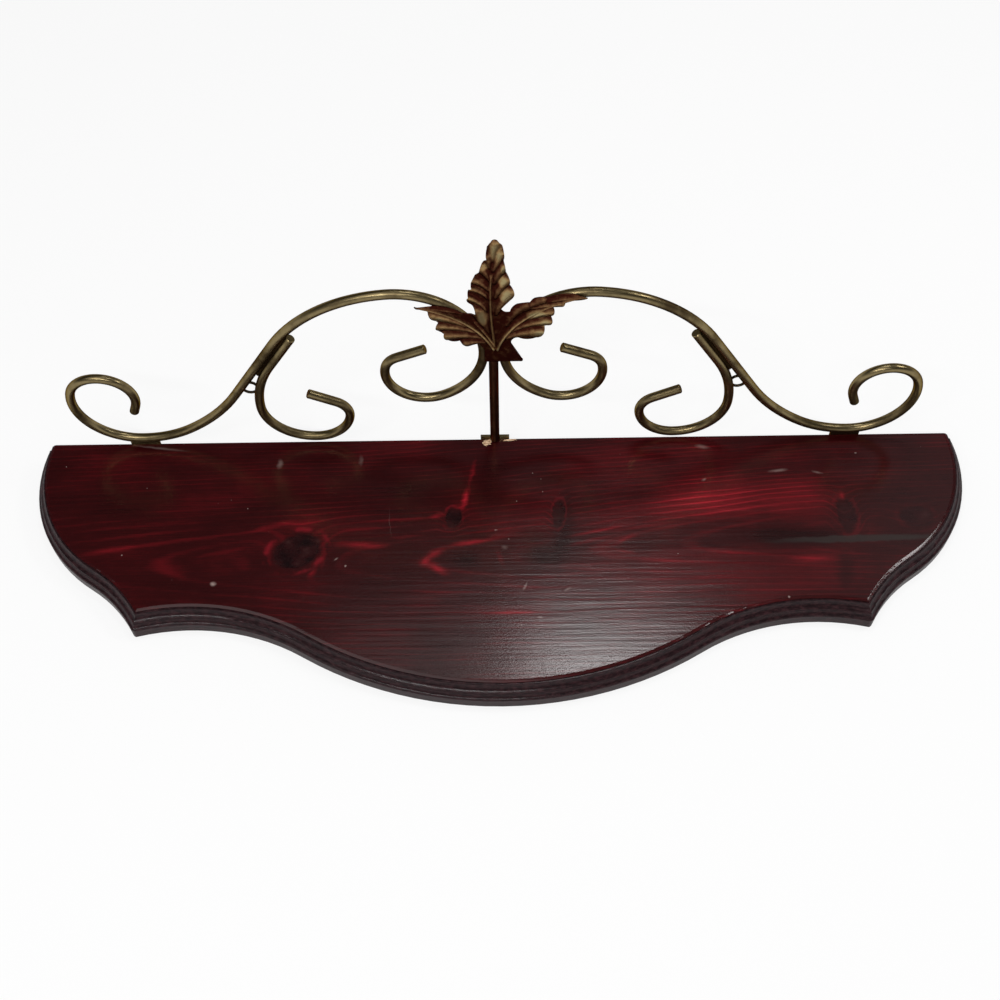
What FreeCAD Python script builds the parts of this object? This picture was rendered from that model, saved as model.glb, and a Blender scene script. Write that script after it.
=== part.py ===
"""Wall shelf rack: a scalloped, moulded wooden shelf with a scrolled brass rail along its back edge.

Millimetres. +X runs to the right, +Y towards the wall and +Z up. The origin is the middle of the
shelf's underside, half way between its back edge and the front of its centre bow.
"""
import FreeCAD, Part
import math
import os

Vector = FreeCAD.Vector

# ---- shelf board: outline in plan -------------------------------------------------------------
BOARD_WIDTH = 613.0            # over the rounded ends
BOARD_DEPTH = 186.0            # back edge to the front of the centre bow
BOARD_THICKNESS = 19.0
BOW_RADIUS = 236.0             # convex middle of the front edge
BOW_HALF_ANGLE = 31.3          # where the bow turns into the hollows beside it
FRONT_HOLLOW_RADIUS = 138.0
END_RADIUS = 102.0
END_SETBACK = 16.3             # the widest point of an end, forward of the back edge
END_TURN = 56.7                # how far an end curves before it turns into its hollow
END_HOLLOW_RADIUS = 98.0
CUSP_ROUNDING = 3.0            # the points between the hollows are eased in plan

# ---- shelf board: moulded edge, from the top face down ------------------------------------------
EASE_WIDTH = 3.0               # the rim of the top face is sanded down a little
EASE_DROP = 0.5
EASE_OVERRUN = 0.06            # the sanding cut leaves the top face at a slant
QUIRK_DROP = 1.3               # small step that stands the moulding off the top face
LEDGE_WIDTH = 1.0
UPPER_COVE_WIDTH = 2.8
UPPER_COVE_DROP = 4.7
UPPER_COVE_HOLLOW = 0.9        # how far the cove is cut behind its chord
RIB_WIDTH = 0.7                # rounded rib between the coves
RIB_DROP = 1.0
LOWER_COVE_WIDTH = 2.1
LOWER_COVE_DROP = 3.6
LOWER_COVE_HOLLOW = 0.8
NOSE_WIDTH = 0.5               # slope above the plain band at the foot of the edge
NOSE_DROP = 0.8
BOTTOM_ROUNDING = 0.8
CUTTER_OVERRUN = 3.0           # how far a cutter runs past the wood
CUTTER_RUN_OUT = 14.0          # how far a cutter runs on past the points and the back edge

# ---- rail: round rod bent into scrolls ------------------------------------------------------------
ROD_DIAMETER = 6.0
ROD_END_CHAMFER = 0.5
WELD_GAP = 0.1                 # between rods that are welded side by side
RAIL_OFFSET = -3.3             # the rail is fastened a little left of the board's middle
MAIN_LIFT = 4.0                # underside of the main scrolls above the board
LOWER_LIFT = 3.6               # underside of the lower scrolls above the board

# main scroll, from its inner cut end outwards: each bend is a radius and a turn in degrees
INNER_END_RUN = 19.7
INNER_CURL_RADIUS, INNER_CURL_TURN = 13.0, 53.3
INNER_BOWL_RADIUS, INNER_BOWL_TURN = 24.7, 127.7
WAIST_BEND_RADIUS, WAIST_BEND_TURN = 45.6, 65.7
SHOULDER_RADIUS, SHOULDER_TURN = 52.0, 95.3
FLANK_RADIUS, FLANK_TURN = 95.5, 52.0
RISE_RUN = 56.0                # straight stretch that the lower scroll lies along
SWEEP_RADIUS, SWEEP_TURN = 109.0, 26.3
TOE_RADIUS = 64.0              # brings the rod level over the foot tab
BELLY_RADIUS, BELLY_TURN = 36.9, 106.0
CROWN_RADIUS, CROWN_TURN = 20.3, 184.0
OUTER_END_RUN = 7.0

# lower scroll, from its upper cut end down: first straight, beside the main scroll's rise
LAP_OVERRUN = 12.5             # it starts this far above the rise, where it meets the flank
LOWER_FLANK_RADIUS = 73.4      # turns the rod upright
LOWER_HEEL_RADIUS = 32.2       # quarter turn down to its lowest point
LOWER_BOWL_RADIUS, LOWER_BOWL_TURN = 24.3, 84.8
LOWER_CURL_RADIUS, LOWER_CURL_TURN = 14.1, 67.8
LOWER_END_RUN = 19.3

# centre post, foot tabs, hanging rings and screws
POST_DIAMETER = 6.0
POST_FOOT_GAP = 0.2
POST_HEADROOM = 3.0            # the post runs this far above the waist
TAB_WIDTH = 19.0
TAB_THICKNESS = 2.0
TAB_CORNER_RADIUS = 3.0
TAB_BOTTOM_MARGIN = 1.5        # the tabs stop short of the underside
CENTRE_TAB_LIP = 2.6           # the centre tab stands this far above the board, beside the post
RING_WIRE = 1.8
RING_INSIDE = 8.0
RING_DROP = 30.0               # below the point where the two scrolls part
SCREW_HEAD_DIAMETER = 6.8
SCREW_SHANK_DIAMETER = 3.5
SCREW_LENGTH = 19.0
SCREW_POINT = 4.0
SCREW_SLOT_WIDTH = 1.0
SCREW_SLOT_DEPTH = 0.8
SCREW_CLEARANCE = 0.1
BEAD_RADIUS = 1.7              # weld beads, all on the wall side of the rail
BEAD_LENGTH = 9.0
BEAD_SETBACK = 0.8             # the beads keep to the crevice behind the rods

# ---- leaf ornament: pressed sheet with raised veins, on the front of the waist ------------------------
LEAF_SHEET = 1.2
LEAF_ROOT_RISE = 8.0           # the veins spring from this height above the waist
LEAF_OFFSET = 2.0              # and a little right of the post
# The outline and the veins are given right of and above the root of the veins. A stroke of the
# outline is (via, end) for an arc or (end,) for a straight line.
OUTLINE_START = (8.1, 31.6)
CENTRE_RIGHT_STROKES = (
    ((3.8, 32.6), (3.9, 37.0)),
    ((8.6, 43.4),),
    ((10.6, 49.8), (7.6, 54.7)),
    ((8.2, 59.2), (5.9, 64.2)),
    ((5.8, 67.9), (4.6, 73.8)),
    ((4.7, 80.9), (0.5, 90.4)),
)
CENTRE_LEFT_STROKES = (
    ((-0.8, 90.9), (-2.0, 90.2)),
    ((-3.7, 86.0), (-4.6, 82.3)),
    ((-5.3, 79.3), (-4.9, 75.8)),
    ((-8.2, 70.2), (-9.6, 64.0)),
    ((-13.4, 59.8), (-13.8, 52.8)),
    ((-16.2, 48.7), (-15.9, 45.4)),
    ((-17.0, 42.2), (-14.8, 39.1)),
    ((-12.8, 35.7), (-12.5, 30.3)),
)
LEFT_LEAF_STROKES = (
    ((-18.0, 30.6),),
    ((-32.0, 36.8), (-47.9, 36.9)),
    ((-43.5, 34.3), (-40.0, 33.3)),
    ((-38.0, 27.5), (-34.2, 23.8)),
    ((-35.8, 18.6), (-31.3, 14.5)),
    ((-30.0, 8.7), (-22.1, 7.2)),
    ((-17.4, 2.9), (-11.0, 5.0)),
)
TAIL_STROKES = (
    ((-7.4, -1.5),),
    ((-7.4, -12.7),),
    ((14.2, -12.7),),
    ((15.8, -12.2), (15.4, -10.4)),
    ((9.0, 3.5),),
)
RIGHT_LEAF_STROKES = (
    ((9.6, 7.6), (12.8, 9.5)),
    ((26.2, 11.2), (28.6, 19.5)),
    ((33.0, 23.3), (31.8, 28.1)),
    ((34.1, 31.8), (33.4, 35.6)),
    ((38.6, 37.0), (40.4, 40.3)),
    ((47.5, 41.3), (53.0, 43.8)),
    ((42.0, 46.3), (31.0, 43.9)),
    ((24.8, 44.4), (19.5, 39.9)),
    ((13.0, 38.7), OUTLINE_START),
)
# Midribs, as (via, end), and the side veins that leave them, as (start, end).
MIDRIBS = (((-2.6, 33.0), (-1.2, 86.0)), ((-17.0, 24.0), (-44.0, 35.8)), ((13.5, 28.5), (48.0, 43.0)))
CENTRE_VEINS = (
    ((-1.8, 38.0), (8.4, 48.6)),
    ((-2.2, 49.0), (6.0, 58.8)),
    ((-2.2, 60.0), (3.9, 68.0)),
    ((-2.4, 31.0), (-14.4, 42.0)),
    ((-2.8, 38.0), (-13.8, 48.4)),
    ((-2.8, 48.0), (-11.4, 58.4)),
    ((-2.6, 60.0), (-7.4, 68.6)),
)
LEFT_VEINS = (
    ((-15.0, 22.4), (-35.4, 28.2)),
    ((-11.0, 17.4), (-32.8, 18.8)),
    ((-7.0, 11.6), (-27.6, 10.4)),
    ((-3.8, 6.6), (-17.0, 5.6)),
)
RIGHT_VEINS = (
    ((12.0, 26.6), (31.4, 32.0)),
    ((8.8, 21.2), (30.4, 23.6)),
    ((5.6, 14.6), (25.4, 14.6)),
    ((3.0, 8.4), (14.0, 11.2)),
)
MIDRIB_RADIUS = 1.2
VEIN_ROOT_RADIUS = 0.9
VEIN_TIP_RADIUS = 2.1

# ---- places worked out from the sizes above ----------------------------------------------------------
BACK_Y = BOARD_DEPTH / 2
FRONT_Y = -BOARD_DEPTH / 2
ROD_RADIUS = ROD_DIAMETER / 2
ROD_PITCH = ROD_DIAMETER + WELD_GAP
WAIST_X = POST_DIAMETER / 2 + WELD_GAP + ROD_RADIUS
UP = Vector(0, 0, 1)


def rail_point(x, z):
    """A point in the rail's plane, which stands over the back edge of the board."""
    return Vector(x, BACK_Y, z)


def heading_vector(degrees):
    """Unit vector in the rail's plane: 0 points right and 90 points up, seen from the front."""
    angle = math.radians(degrees)
    return Vector(math.cos(angle), 0, math.sin(angle))


def mirrored(shape):
    return shape.mirror(Vector(0, 0, 0), Vector(1, 0, 0))


def set_on_board(shape):
    """Moves a piece of the rail, made about X = 0, to its place on the board."""
    return shape.translated(Vector(RAIL_OFFSET, 0, 0))


def plan_point(centre, radius, degrees, z=0.0):
    angle = math.radians(degrees)
    return Vector(centre.x + radius * math.cos(angle), centre.y + radius * math.sin(angle), z)


# ---- shelf board ---------------------------------------------------------------------------------------

def circle_crossing(centre_a, radius_a, centre_b, radius_b):
    """The crossing of two circles that lies nearer the back edge."""
    line = centre_b - centre_a
    distance = line.Length
    along = (radius_a ** 2 - radius_b ** 2 + distance ** 2) / (2 * distance)
    aside = math.sqrt(radius_a ** 2 - along ** 2)
    foot = centre_a + line * (along / distance)
    across = Vector(-line.y, line.x, 0) * (aside / distance)
    return max(foot + across, foot - across, key=lambda point: point.y)


def bearing(centre, point):
    return math.degrees(math.atan2(point.y - centre.y, point.x - centre.x))


def right_edge_arcs():
    """The arcs of the right half of the front edge, as (centre, radius, start, end, convex)."""
    bow = Vector(0, FRONT_Y + BOW_RADIUS, 0)
    bow_end = -90 + BOW_HALF_ANGLE
    hollow = plan_point(bow, BOW_RADIUS + FRONT_HOLLOW_RADIUS, bow_end)
    end = Vector(BOARD_WIDTH / 2 - END_RADIUS, BACK_Y - END_SETBACK, 0)
    end_hollow = plan_point(end, END_RADIUS + END_HOLLOW_RADIUS, -END_TURN)
    cusp = circle_crossing(hollow, FRONT_HOLLOW_RADIUS, end_hollow, END_HOLLOW_RADIUS)
    back_turn = math.degrees(math.asin(END_SETBACK / END_RADIUS))
    return [
        (bow, BOW_RADIUS, -90.0, bow_end, True),
        (hollow, FRONT_HOLLOW_RADIUS, bow_end + 180, bearing(hollow, cusp), False),
        (end_hollow, END_HOLLOW_RADIUS, bearing(end_hollow, cusp), 180 - END_TURN, False),
        (end, END_RADIUS, -END_TURN, back_turn, True),
    ]


def board_blank(arcs):
    """The plain board, with the two points of its front edge eased."""
    half = []
    for centre, radius, start, end, convex in arcs:
        middle = (start + end) / 2
        points = [plan_point(centre, radius, angle) for angle in (start, middle, end)]
        half.append(Part.Arc(*points).toShape())
    other_half = [mirrored(edge) for edge in half]
    back_right = half[-1].Vertexes[-1].Point
    back_left = Vector(-back_right.x, back_right.y, 0)
    back = Part.LineSegment(back_right, back_left).toShape()
    outline = Part.Wire(Part.__sortEdges__(half + [back] + other_half))
    blank = Part.Face(outline).extrude(UP * BOARD_THICKNESS)
    cusp = half[1].Vertexes[-1].Point
    cusp_edges = [edge for edge in blank.Edges if is_upright_at(edge, abs(cusp.x), cusp.y)]
    return blank.makeFillet(CUSP_ROUNDING, cusp_edges)


def is_upright_at(edge, side_x, y):
    ends = [vertex.Point for vertex in edge.Vertexes]
    if len(ends) != 2 or abs(ends[0].z - ends[1].z) < BOARD_THICKNESS / 2:
        return False
    return all(abs(abs(point.x) - side_x) < 0.01 and abs(point.y - y) < 0.01 for point in ends)


def hollow_arc(start, end, depth):
    """An arc from start to end that bulges into the wood, or out of it where depth is negative."""
    middle = (start + end) * 0.5
    chord = end - start
    into_wood = Vector(-chord.y, chord.x, 0).normalize()
    return Part.Arc(start, middle + into_wood * depth, end)


def edge_waste_profile():
    """What the moulding cutter takes off: x is the distance in from the edge, y the height."""
    foot_of_nose = Vector(0, BOARD_THICKNESS - moulding_drop(), 0)
    nose = foot_of_nose + Vector(NOSE_WIDTH, NOSE_DROP, 0)
    rib_foot = nose + Vector(LOWER_COVE_WIDTH, LOWER_COVE_DROP, 0)
    rib_head = rib_foot + Vector(RIB_WIDTH, RIB_DROP, 0)
    ledge_lip = rib_head + Vector(UPPER_COVE_WIDTH, UPPER_COVE_DROP, 0)
    ledge_root = ledge_lip + Vector(LEDGE_WIDTH, 0, 0)
    ease_foot = ledge_root + Vector(0, QUIRK_DROP - EASE_DROP, 0)
    ease_head = ease_foot + Vector(EASE_WIDTH, EASE_DROP + EASE_OVERRUN, 0)
    top = Vector(ease_head.x, BOARD_THICKNESS + CUTTER_OVERRUN, 0)
    outside_top = Vector(-CUTTER_OVERRUN, top.y, 0)
    outside_foot = foot_of_nose - (nose - foot_of_nose) * (CUTTER_OVERRUN / NOSE_WIDTH)
    return [
        Part.LineSegment(outside_foot, nose),
        hollow_arc(rib_foot, nose, LOWER_COVE_HOLLOW),
        hollow_arc(rib_head, rib_foot, -RIB_WIDTH / 3),
        hollow_arc(ledge_lip, rib_head, UPPER_COVE_HOLLOW),
        Part.LineSegment(ledge_root, ledge_lip),
        Part.LineSegment(ease_foot, ledge_root),
        hollow_arc(ease_head, ease_foot, -EASE_DROP / 3),
        Part.LineSegment(top, ease_head),
        Part.LineSegment(outside_top, top),
        Part.LineSegment(outside_foot, outside_top),
    ]


def moulding_drop():
    """Depth of the whole moulding below the top face."""
    return QUIRK_DROP + UPPER_COVE_DROP + RIB_DROP + LOWER_COVE_DROP + NOSE_DROP


def bottom_waste_profile():
    """What the rounding of the bottom edge takes off."""
    side = Vector(0, BOTTOM_ROUNDING, 0)
    under = Vector(BOTTOM_ROUNDING, 0, 0)
    centre = Vector(BOTTOM_ROUNDING, BOTTOM_ROUNDING, 0)
    on_round = centre - Vector(1, 1, 0).normalize() * BOTTOM_ROUNDING
    below = Vector(BOTTOM_ROUNDING, -CUTTER_OVERRUN, 0)
    outside_below = Vector(-CUTTER_OVERRUN, -CUTTER_OVERRUN, 0)
    outside = Vector(-CUTTER_OVERRUN, BOTTOM_ROUNDING, 0)
    return [
        Part.Arc(side, on_round, under),
        Part.LineSegment(under, below),
        Part.LineSegment(below, outside_below),
        Part.LineSegment(outside_below, outside),
        Part.LineSegment(outside, side),
    ]


def cutter(curves, centre, radius, start, end, convex):
    """A waste profile turned about the centre of one arc of the edge."""
    face = Part.Face(Part.Wire(Part.__sortEdges__([curve.toShape() for curve in curves])))
    facing = start if not convex else start + 180
    upright = FreeCAD.Placement(Vector(0, 0, 0), FreeCAD.Rotation(Vector(1, 0, 0), 90))
    turned = FreeCAD.Placement(plan_point(centre, radius, start), FreeCAD.Rotation(UP, facing))
    face.Placement = turned.multiply(upright)
    return face.revolve(centre, UP, end - start)


def with_run_out(index, arc):
    """Lengthens an arc past the points of the front edge and past the back edge."""
    centre, radius, start, end, convex = arc
    extra = math.degrees(CUTTER_RUN_OUT / radius)
    turn = 1 if end > start else -1
    if index in (1, 3):
        end += turn * extra
    if index == 2:
        start -= turn * extra
    return centre, radius, start, end, convex


def shelf_board():
    arcs = right_edge_arcs()
    board = board_blank(arcs)
    cutters = []
    for index, arc in enumerate(arcs):
        centre, radius, start, end, convex = with_run_out(index, arc)
        if index == 0:
            start = -180 - end
        for curves in (edge_waste_profile(), bottom_waste_profile()):
            tool = cutter(curves, centre, radius, start, end, convex)
            cutters.append(tool)
            if index > 0:
                cutters.append(mirrored(tool))
    board = board.cut(cutters)
    holes = [set_on_board(screw_hole(x, SCREW_CLEARANCE)) for x in tab_places()]
    return board.cut(holes)


# ---- bent rods -------------------------------------------------------------------------------------------

def trace(start, heading, steps):
    """Follows a list of runs and bends, and returns its edges, points and headings.

    A step is (length,) for a straight run or (radius, turn) for a bend, left turns positive.
    """
    edges, points, headings = [], [start], [heading]
    for step in steps:
        here = points[-1]
        if len(step) == 1:
            there = here + heading_vector(heading) * step[0]
            edges.append(Part.LineSegment(here, there).toShape())
        else:
            radius, turn = step
            side = 90 if turn > 0 else -90
            centre = here + heading_vector(heading + side) * radius
            halfway = centre - heading_vector(heading + side + turn / 2) * radius
            there = centre - heading_vector(heading + side + turn) * radius
            edges.append(Part.Arc(here, halfway, there).toShape())
            heading += turn
        points.append(there)
        headings.append(heading)
    return edges, points, headings


def inner_steps():
    """The right main scroll's bends from its inner end up to the waist."""
    return [
        (INNER_END_RUN,),
        (INNER_CURL_RADIUS, -INNER_CURL_TURN),
        (INNER_BOWL_RADIUS, -INNER_BOWL_TURN),
        (WAIST_BEND_RADIUS, -WAIST_BEND_TURN),
    ]


def arch_steps():
    """From the waist over the shoulder to the top of the rise."""
    return [(SHOULDER_RADIUS, -SHOULDER_TURN), (FLANK_RADIUS, -FLANK_TURN)]


def rise_steps():
    """From the top of the rise down to the foot, where the rod is level."""
    fall = SHOULDER_TURN + FLANK_TURN - 90
    return [(RISE_RUN,), (SWEEP_RADIUS, SWEEP_TURN), (TOE_RADIUS, fall - SWEEP_TURN)]


def outer_steps():
    """From the foot round the outer loop to the outer end."""
    return [(BELLY_RADIUS, BELLY_TURN), (CROWN_RADIUS, CROWN_TURN), (OUTER_END_RUN,)]


def landmarks():
    """Where along the main scroll's points the waist, the top of the rise and the foot are."""
    waist = len(inner_steps())
    rise = waist + len(arch_steps())
    return {"waist": waist, "rise": rise, "foot": rise + len(rise_steps())}


def main_scroll_trace():
    """Places the bends so that the waist meets the post and the foot clears the board."""
    heading = 90 + INNER_CURL_TURN + INNER_BOWL_TURN + WAIST_BEND_TURN
    steps = inner_steps() + arch_steps() + rise_steps() + outer_steps()
    marks = landmarks()
    points = trace(rail_point(0, 0), heading, steps)[1]
    foot_z = BOARD_THICKNESS + MAIN_LIFT + ROD_RADIUS
    start = rail_point(WAIST_X - points[marks["waist"]].x, foot_z - points[marks["foot"]].z)
    return trace(start, heading, steps)


def main_scroll_mark(name):
    """The point and heading of a landmark on the right main scroll."""
    points, headings = main_scroll_trace()[1:]
    place = landmarks()[name]
    return points[place], headings[place]


def lap_pitch():
    """Between the scrolls along the rise, where the lower one's upper end meets the flank."""
    meeting_radius = FLANK_RADIUS - ROD_PITCH
    return FLANK_RADIUS - math.sqrt(meeting_radius ** 2 - LAP_OVERRUN ** 2)


def lower_scroll_trace():
    """Lays the lower scroll along the rise, as long as brings its foot down to the board."""
    top, rise = main_scroll_mark("rise")
    along = heading_vector(rise)
    start = top + heading_vector(rise - 90) * lap_pitch() - along * LAP_OVERRUN
    bends = [
        (LOWER_FLANK_RADIUS, -90 - rise),
        (LOWER_HEEL_RADIUS, -90),
        (LOWER_BOWL_RADIUS, -LOWER_BOWL_TURN),
        (LOWER_CURL_RADIUS, -LOWER_CURL_TURN),
        (LOWER_END_RUN,),
    ]
    foot = trace(start, rise, bends)[1][2]
    drop = BOARD_THICKNESS + LOWER_LIFT + ROD_RADIUS - foot.z
    return trace(start, rise, [(drop / along.z,)] + bends)


def bent_rod(edges, start, heading, radius=ROD_RADIUS):
    profile = Part.Wire(Part.Circle(start, heading_vector(heading), radius).toShape())
    return Part.Wire(edges).makePipeShell([profile], True, False)


def chamfered_ends(rod):
    ends = [face for face in rod.Faces if isinstance(face.Surface, Part.Plane)]
    rims = [edge for face in ends for edge in face.Edges]
    return rod.makeChamfer(ROD_END_CHAMFER, rims)


def scroll(tracer):
    edges, points, headings = tracer()
    return chamfered_ends(bent_rod(edges, points[0], headings[0]))


def waist_height():
    return main_scroll_mark("waist")[0].z


def centre_post():
    foot = rail_point(0, BOARD_THICKNESS + POST_FOOT_GAP)
    length = waist_height() + POST_HEADROOM - foot.z
    post = Part.makeCylinder(POST_DIAMETER / 2, length, foot, UP)
    return chamfered_ends(post)


# ---- foot tabs, screws, rings and welds --------------------------------------------------------------------

def tab_places():
    """The middles of the left, centre and right tabs."""
    foot_x = main_scroll_mark("foot")[0].x
    return [-foot_x, 0.0, foot_x]


def screw_height():
    return BOARD_THICKNESS / 2


def tab_plate(x, top_z):
    bottom_z = TAB_BOTTOM_MARGIN
    corner = Vector(x - TAB_WIDTH / 2, BACK_Y, bottom_z)
    plate = Part.makeBox(TAB_WIDTH, TAB_THICKNESS, top_z - bottom_z, corner)
    lower_corners = [
        edge for edge in plate.Edges
        if abs(edge.CenterOfMass.z - bottom_z) < 0.01 and edge.Length < TAB_THICKNESS + 0.01
    ]
    plate = plate.makeFillet(TAB_CORNER_RADIUS, lower_corners)
    return plate.cut(screw_hole(x, SCREW_CLEARANCE))


def outer_foot_tab():
    """The right foot tab, its top edge coped to the rod that is welded on it."""
    edges, points, headings = main_scroll_trace()
    foot = main_scroll_mark("foot")[0]
    coping = bent_rod(edges, points[0], headings[0], ROD_RADIUS + WELD_GAP)
    plate = tab_plate(foot.x, foot.z)
    pieces = plate.cut(coping).Solids
    return min(pieces, key=lambda piece: piece.CenterOfMass.z)


def centre_foot_tab():
    """The centre tab, slotted for the back half of the post."""
    plate = tab_plate(0, BOARD_THICKNESS + CENTRE_TAB_LIP)
    slot_foot = rail_point(0, BOARD_THICKNESS + POST_FOOT_GAP - WELD_GAP)
    slot = Part.makeCylinder(POST_DIAMETER / 2 + WELD_GAP, 2 * CENTRE_TAB_LIP, slot_foot, UP)
    return plate.cut(slot)


def screw_profile(clearance):
    """Half section of a countersunk screw: x is the radius, y the depth from its flat head."""
    head = SCREW_HEAD_DIAMETER / 2 + clearance
    shank = SCREW_SHANK_DIAMETER / 2 + clearance
    return [
        Vector(0, 0, 0),
        Vector(head, 0, 0),
        Vector(shank, head - shank, 0),
        Vector(shank, SCREW_LENGTH - SCREW_POINT, 0),
        Vector(0, SCREW_LENGTH + clearance, 0),
    ]


def turned_screw(x, clearance):
    points = screw_profile(clearance)
    places = [
        Vector(x + point.x, BACK_Y + TAB_THICKNESS - point.y, screw_height()) for point in points
    ]
    face = Part.Face(Part.makePolygon(places + places[:1]))
    return face.revolve(Vector(x, 0, screw_height()), Vector(0, 1, 0), 360)


def screw_hole(x, clearance):
    """A screw's own shape with clearance, open at the wall side."""
    head = SCREW_HEAD_DIAMETER / 2 + clearance
    mouth = Vector(x, BACK_Y + TAB_THICKNESS, screw_height())
    return turned_screw(x, clearance).fuse(Part.makeCylinder(head, 1.0, mouth, Vector(0, 1, 0)))


def foot_screw(x):
    slot = Part.makeBox(
        SCREW_HEAD_DIAMETER,
        SCREW_SLOT_DEPTH * 2,
        SCREW_SLOT_WIDTH,
        Vector(
            x - SCREW_HEAD_DIAMETER / 2,
            BACK_Y + TAB_THICKNESS - SCREW_SLOT_DEPTH,
            screw_height() - SCREW_SLOT_WIDTH / 2,
        ),
    )
    return turned_screw(x, 0.0).cut(slot)


def ring_sides():
    """Where the ring touches: a point on the main scroll's axis and one on the lower scroll's."""
    points, headings = lower_scroll_trace()[1:]
    rise = headings[0]
    turn = math.degrees(RING_DROP / LOWER_FLANK_RADIUS)
    main_side = points[1] + heading_vector(rise + 90) * lap_pitch()
    main_side += heading_vector(rise) * RING_DROP
    lower_side = trace(points[1], rise, [(LOWER_FLANK_RADIUS, -turn)])[1][-1]
    return main_side, lower_side


def hanging_ring():
    """A closed wire ring, upright on the wall side of the two scrolls and touching both."""
    main_side, lower_side = ring_sides()
    middle_radius = (RING_INSIDE + RING_WIRE) / 2
    beyond = (main_side - lower_side).Length / 2 - middle_radius
    reach = ROD_RADIUS + RING_WIRE / 2 + WELD_GAP
    behind = math.sqrt(reach ** 2 - beyond ** 2)
    place = (main_side + lower_side) * 0.5 + Vector(0, behind, 0)
    return Part.makeTorus(middle_radius, RING_WIRE / 2, place, Vector(0, 1, 0))


def bead(middle, direction, rods):
    """A weld bead along a crevice, on the wall side of two rods that lie side by side."""
    start = middle - direction * (BEAD_LENGTH / 2) + Vector(0, BEAD_SETBACK + BEAD_RADIUS / 2, 0)
    run = Part.makeCylinder(BEAD_RADIUS, BEAD_LENGTH, start, direction)
    depth = ROD_DIAMETER
    keep = Part.makeBox(4 * ROD_DIAMETER, depth, 4 * BEAD_LENGTH)
    keep.translate(Vector(middle.x - 2 * ROD_DIAMETER, BACK_Y + BEAD_SETBACK, middle.z - 2 * BEAD_LENGTH))
    return run.common(keep).cut(rods)


def rail_welds(main, lower, post):
    """Beads between the main and lower scrolls and at the waist, right side and left side."""
    points, headings = lower_scroll_trace()[1:]
    along = heading_vector(headings[0])
    toward_main = heading_vector(headings[0] + 90) * (lap_pitch() / 2)
    half_bead = along * (BEAD_LENGTH / 2)
    lap_places = [points[0] + half_bead, points[1] - half_bead]
    right = [bead(place + toward_main, along, [main, lower]) for place in lap_places]
    waist = rail_point(WAIST_X / 2, waist_height() - BEAD_LENGTH / 2)
    right.append(bead(waist, UP, [main, post]))
    left = [mirrored(piece) for piece in right]
    return Part.makeCompound([solid for piece in right + left for solid in piece.Solids])


# ---- leaf ornament --------------------------------------------------------------------------------------------

def leaf_root():
    front_of_rods = BACK_Y - ROD_RADIUS - WELD_GAP
    return Vector(LEAF_OFFSET, front_of_rods, waist_height() + LEAF_ROOT_RISE)


def leaf_point(place, depth=0.0):
    """A point of the leaf, from its place right of and above the root of the veins."""
    return leaf_root() + Vector(place[0], -depth, place[1])


def leaf_blank():
    """The cut-out sheet: centre leaf, left leaf, fishtail and right leaf in one outline."""
    here = OUTLINE_START
    edges = []
    groups = (
        CENTRE_RIGHT_STROKES, CENTRE_LEFT_STROKES, LEFT_LEAF_STROKES, TAIL_STROKES, RIGHT_LEAF_STROKES,
    )
    for stroke in (stroke for group in groups for stroke in group):
        points = [leaf_point(place) for place in (here,) + stroke]
        curve = Part.LineSegment(*points) if len(points) == 2 else Part.Arc(*points)
        edges.append(curve.toShape())
        here = stroke[-1]
    return Part.Face(Part.Wire(edges)).extrude(Vector(0, -LEAF_SHEET, 0))


def midrib(via, end):
    """A bent half-round rib from the root, on the front of the sheet."""
    points = [leaf_point(place, LEAF_SHEET) for place in ((0.0, 0.0), via, end)]
    path = Part.Arc(*points).toShape()
    direction = path.tangentAt(path.FirstParameter)
    profile = Part.Wire(Part.Circle(points[0], direction, MIDRIB_RADIUS).toShape())
    rib = Part.Wire(path).makePipeShell([profile], True, False)
    return [rib, Part.makeSphere(MIDRIB_RADIUS, points[-1])]


def vein(root, tip):
    """A half-round swelling that widens from the midrib to the lobe, with a rounded end."""
    start, end = leaf_point(root, LEAF_SHEET), leaf_point(tip, LEAF_SHEET)
    line = end - start
    cone = Part.makeCone(VEIN_ROOT_RADIUS, VEIN_TIP_RADIUS, line.Length, start, line)
    return [cone, Part.makeSphere(VEIN_TIP_RADIUS, end)]


def front_half(shape):
    """Drops what the ribs have behind the front of the sheet's back face."""
    size = shape.BoundBox.DiagonalLength
    keep = Part.makeBox(2 * size, size, 2 * size)
    keep.translate(leaf_root() - Vector(size, size, size))
    return shape.common(keep)


def leaf_ornament():
    ribs = [piece for via, end in MIDRIBS for piece in midrib(via, end)]
    for root, tip in CENTRE_VEINS + LEFT_VEINS + RIGHT_VEINS:
        ribs.extend(vein(root, tip))
    leaf = leaf_blank()
    for rib in ribs:
        leaf = leaf.fuse(rib)
    return front_half(leaf).removeSplitter()


# ---- the whole rack ------------------------------------------------------------------------------------------------

def rail_pieces():
    """Every piece of the rail, about X = 0."""
    main = scroll(main_scroll_trace)
    lower = scroll(lower_scroll_trace)
    post = centre_post()
    tab = outer_foot_tab()
    ring = hanging_ring()
    return {
        "right_main_scroll": main,
        "left_main_scroll": mirrored(main),
        "right_lower_scroll": lower,
        "left_lower_scroll": mirrored(lower),
        "centre_post": post,
        "leaf_ornament": leaf_ornament(),
        "right_foot_tab": tab,
        "left_foot_tab": mirrored(tab),
        "centre_foot_tab": centre_foot_tab(),
        "foot_screws": Part.makeCompound([foot_screw(x) for x in tab_places()]),
        "right_hanging_ring": ring,
        "left_hanging_ring": mirrored(ring),
        "rail_welds": rail_welds(main, lower, post),
    }


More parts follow.
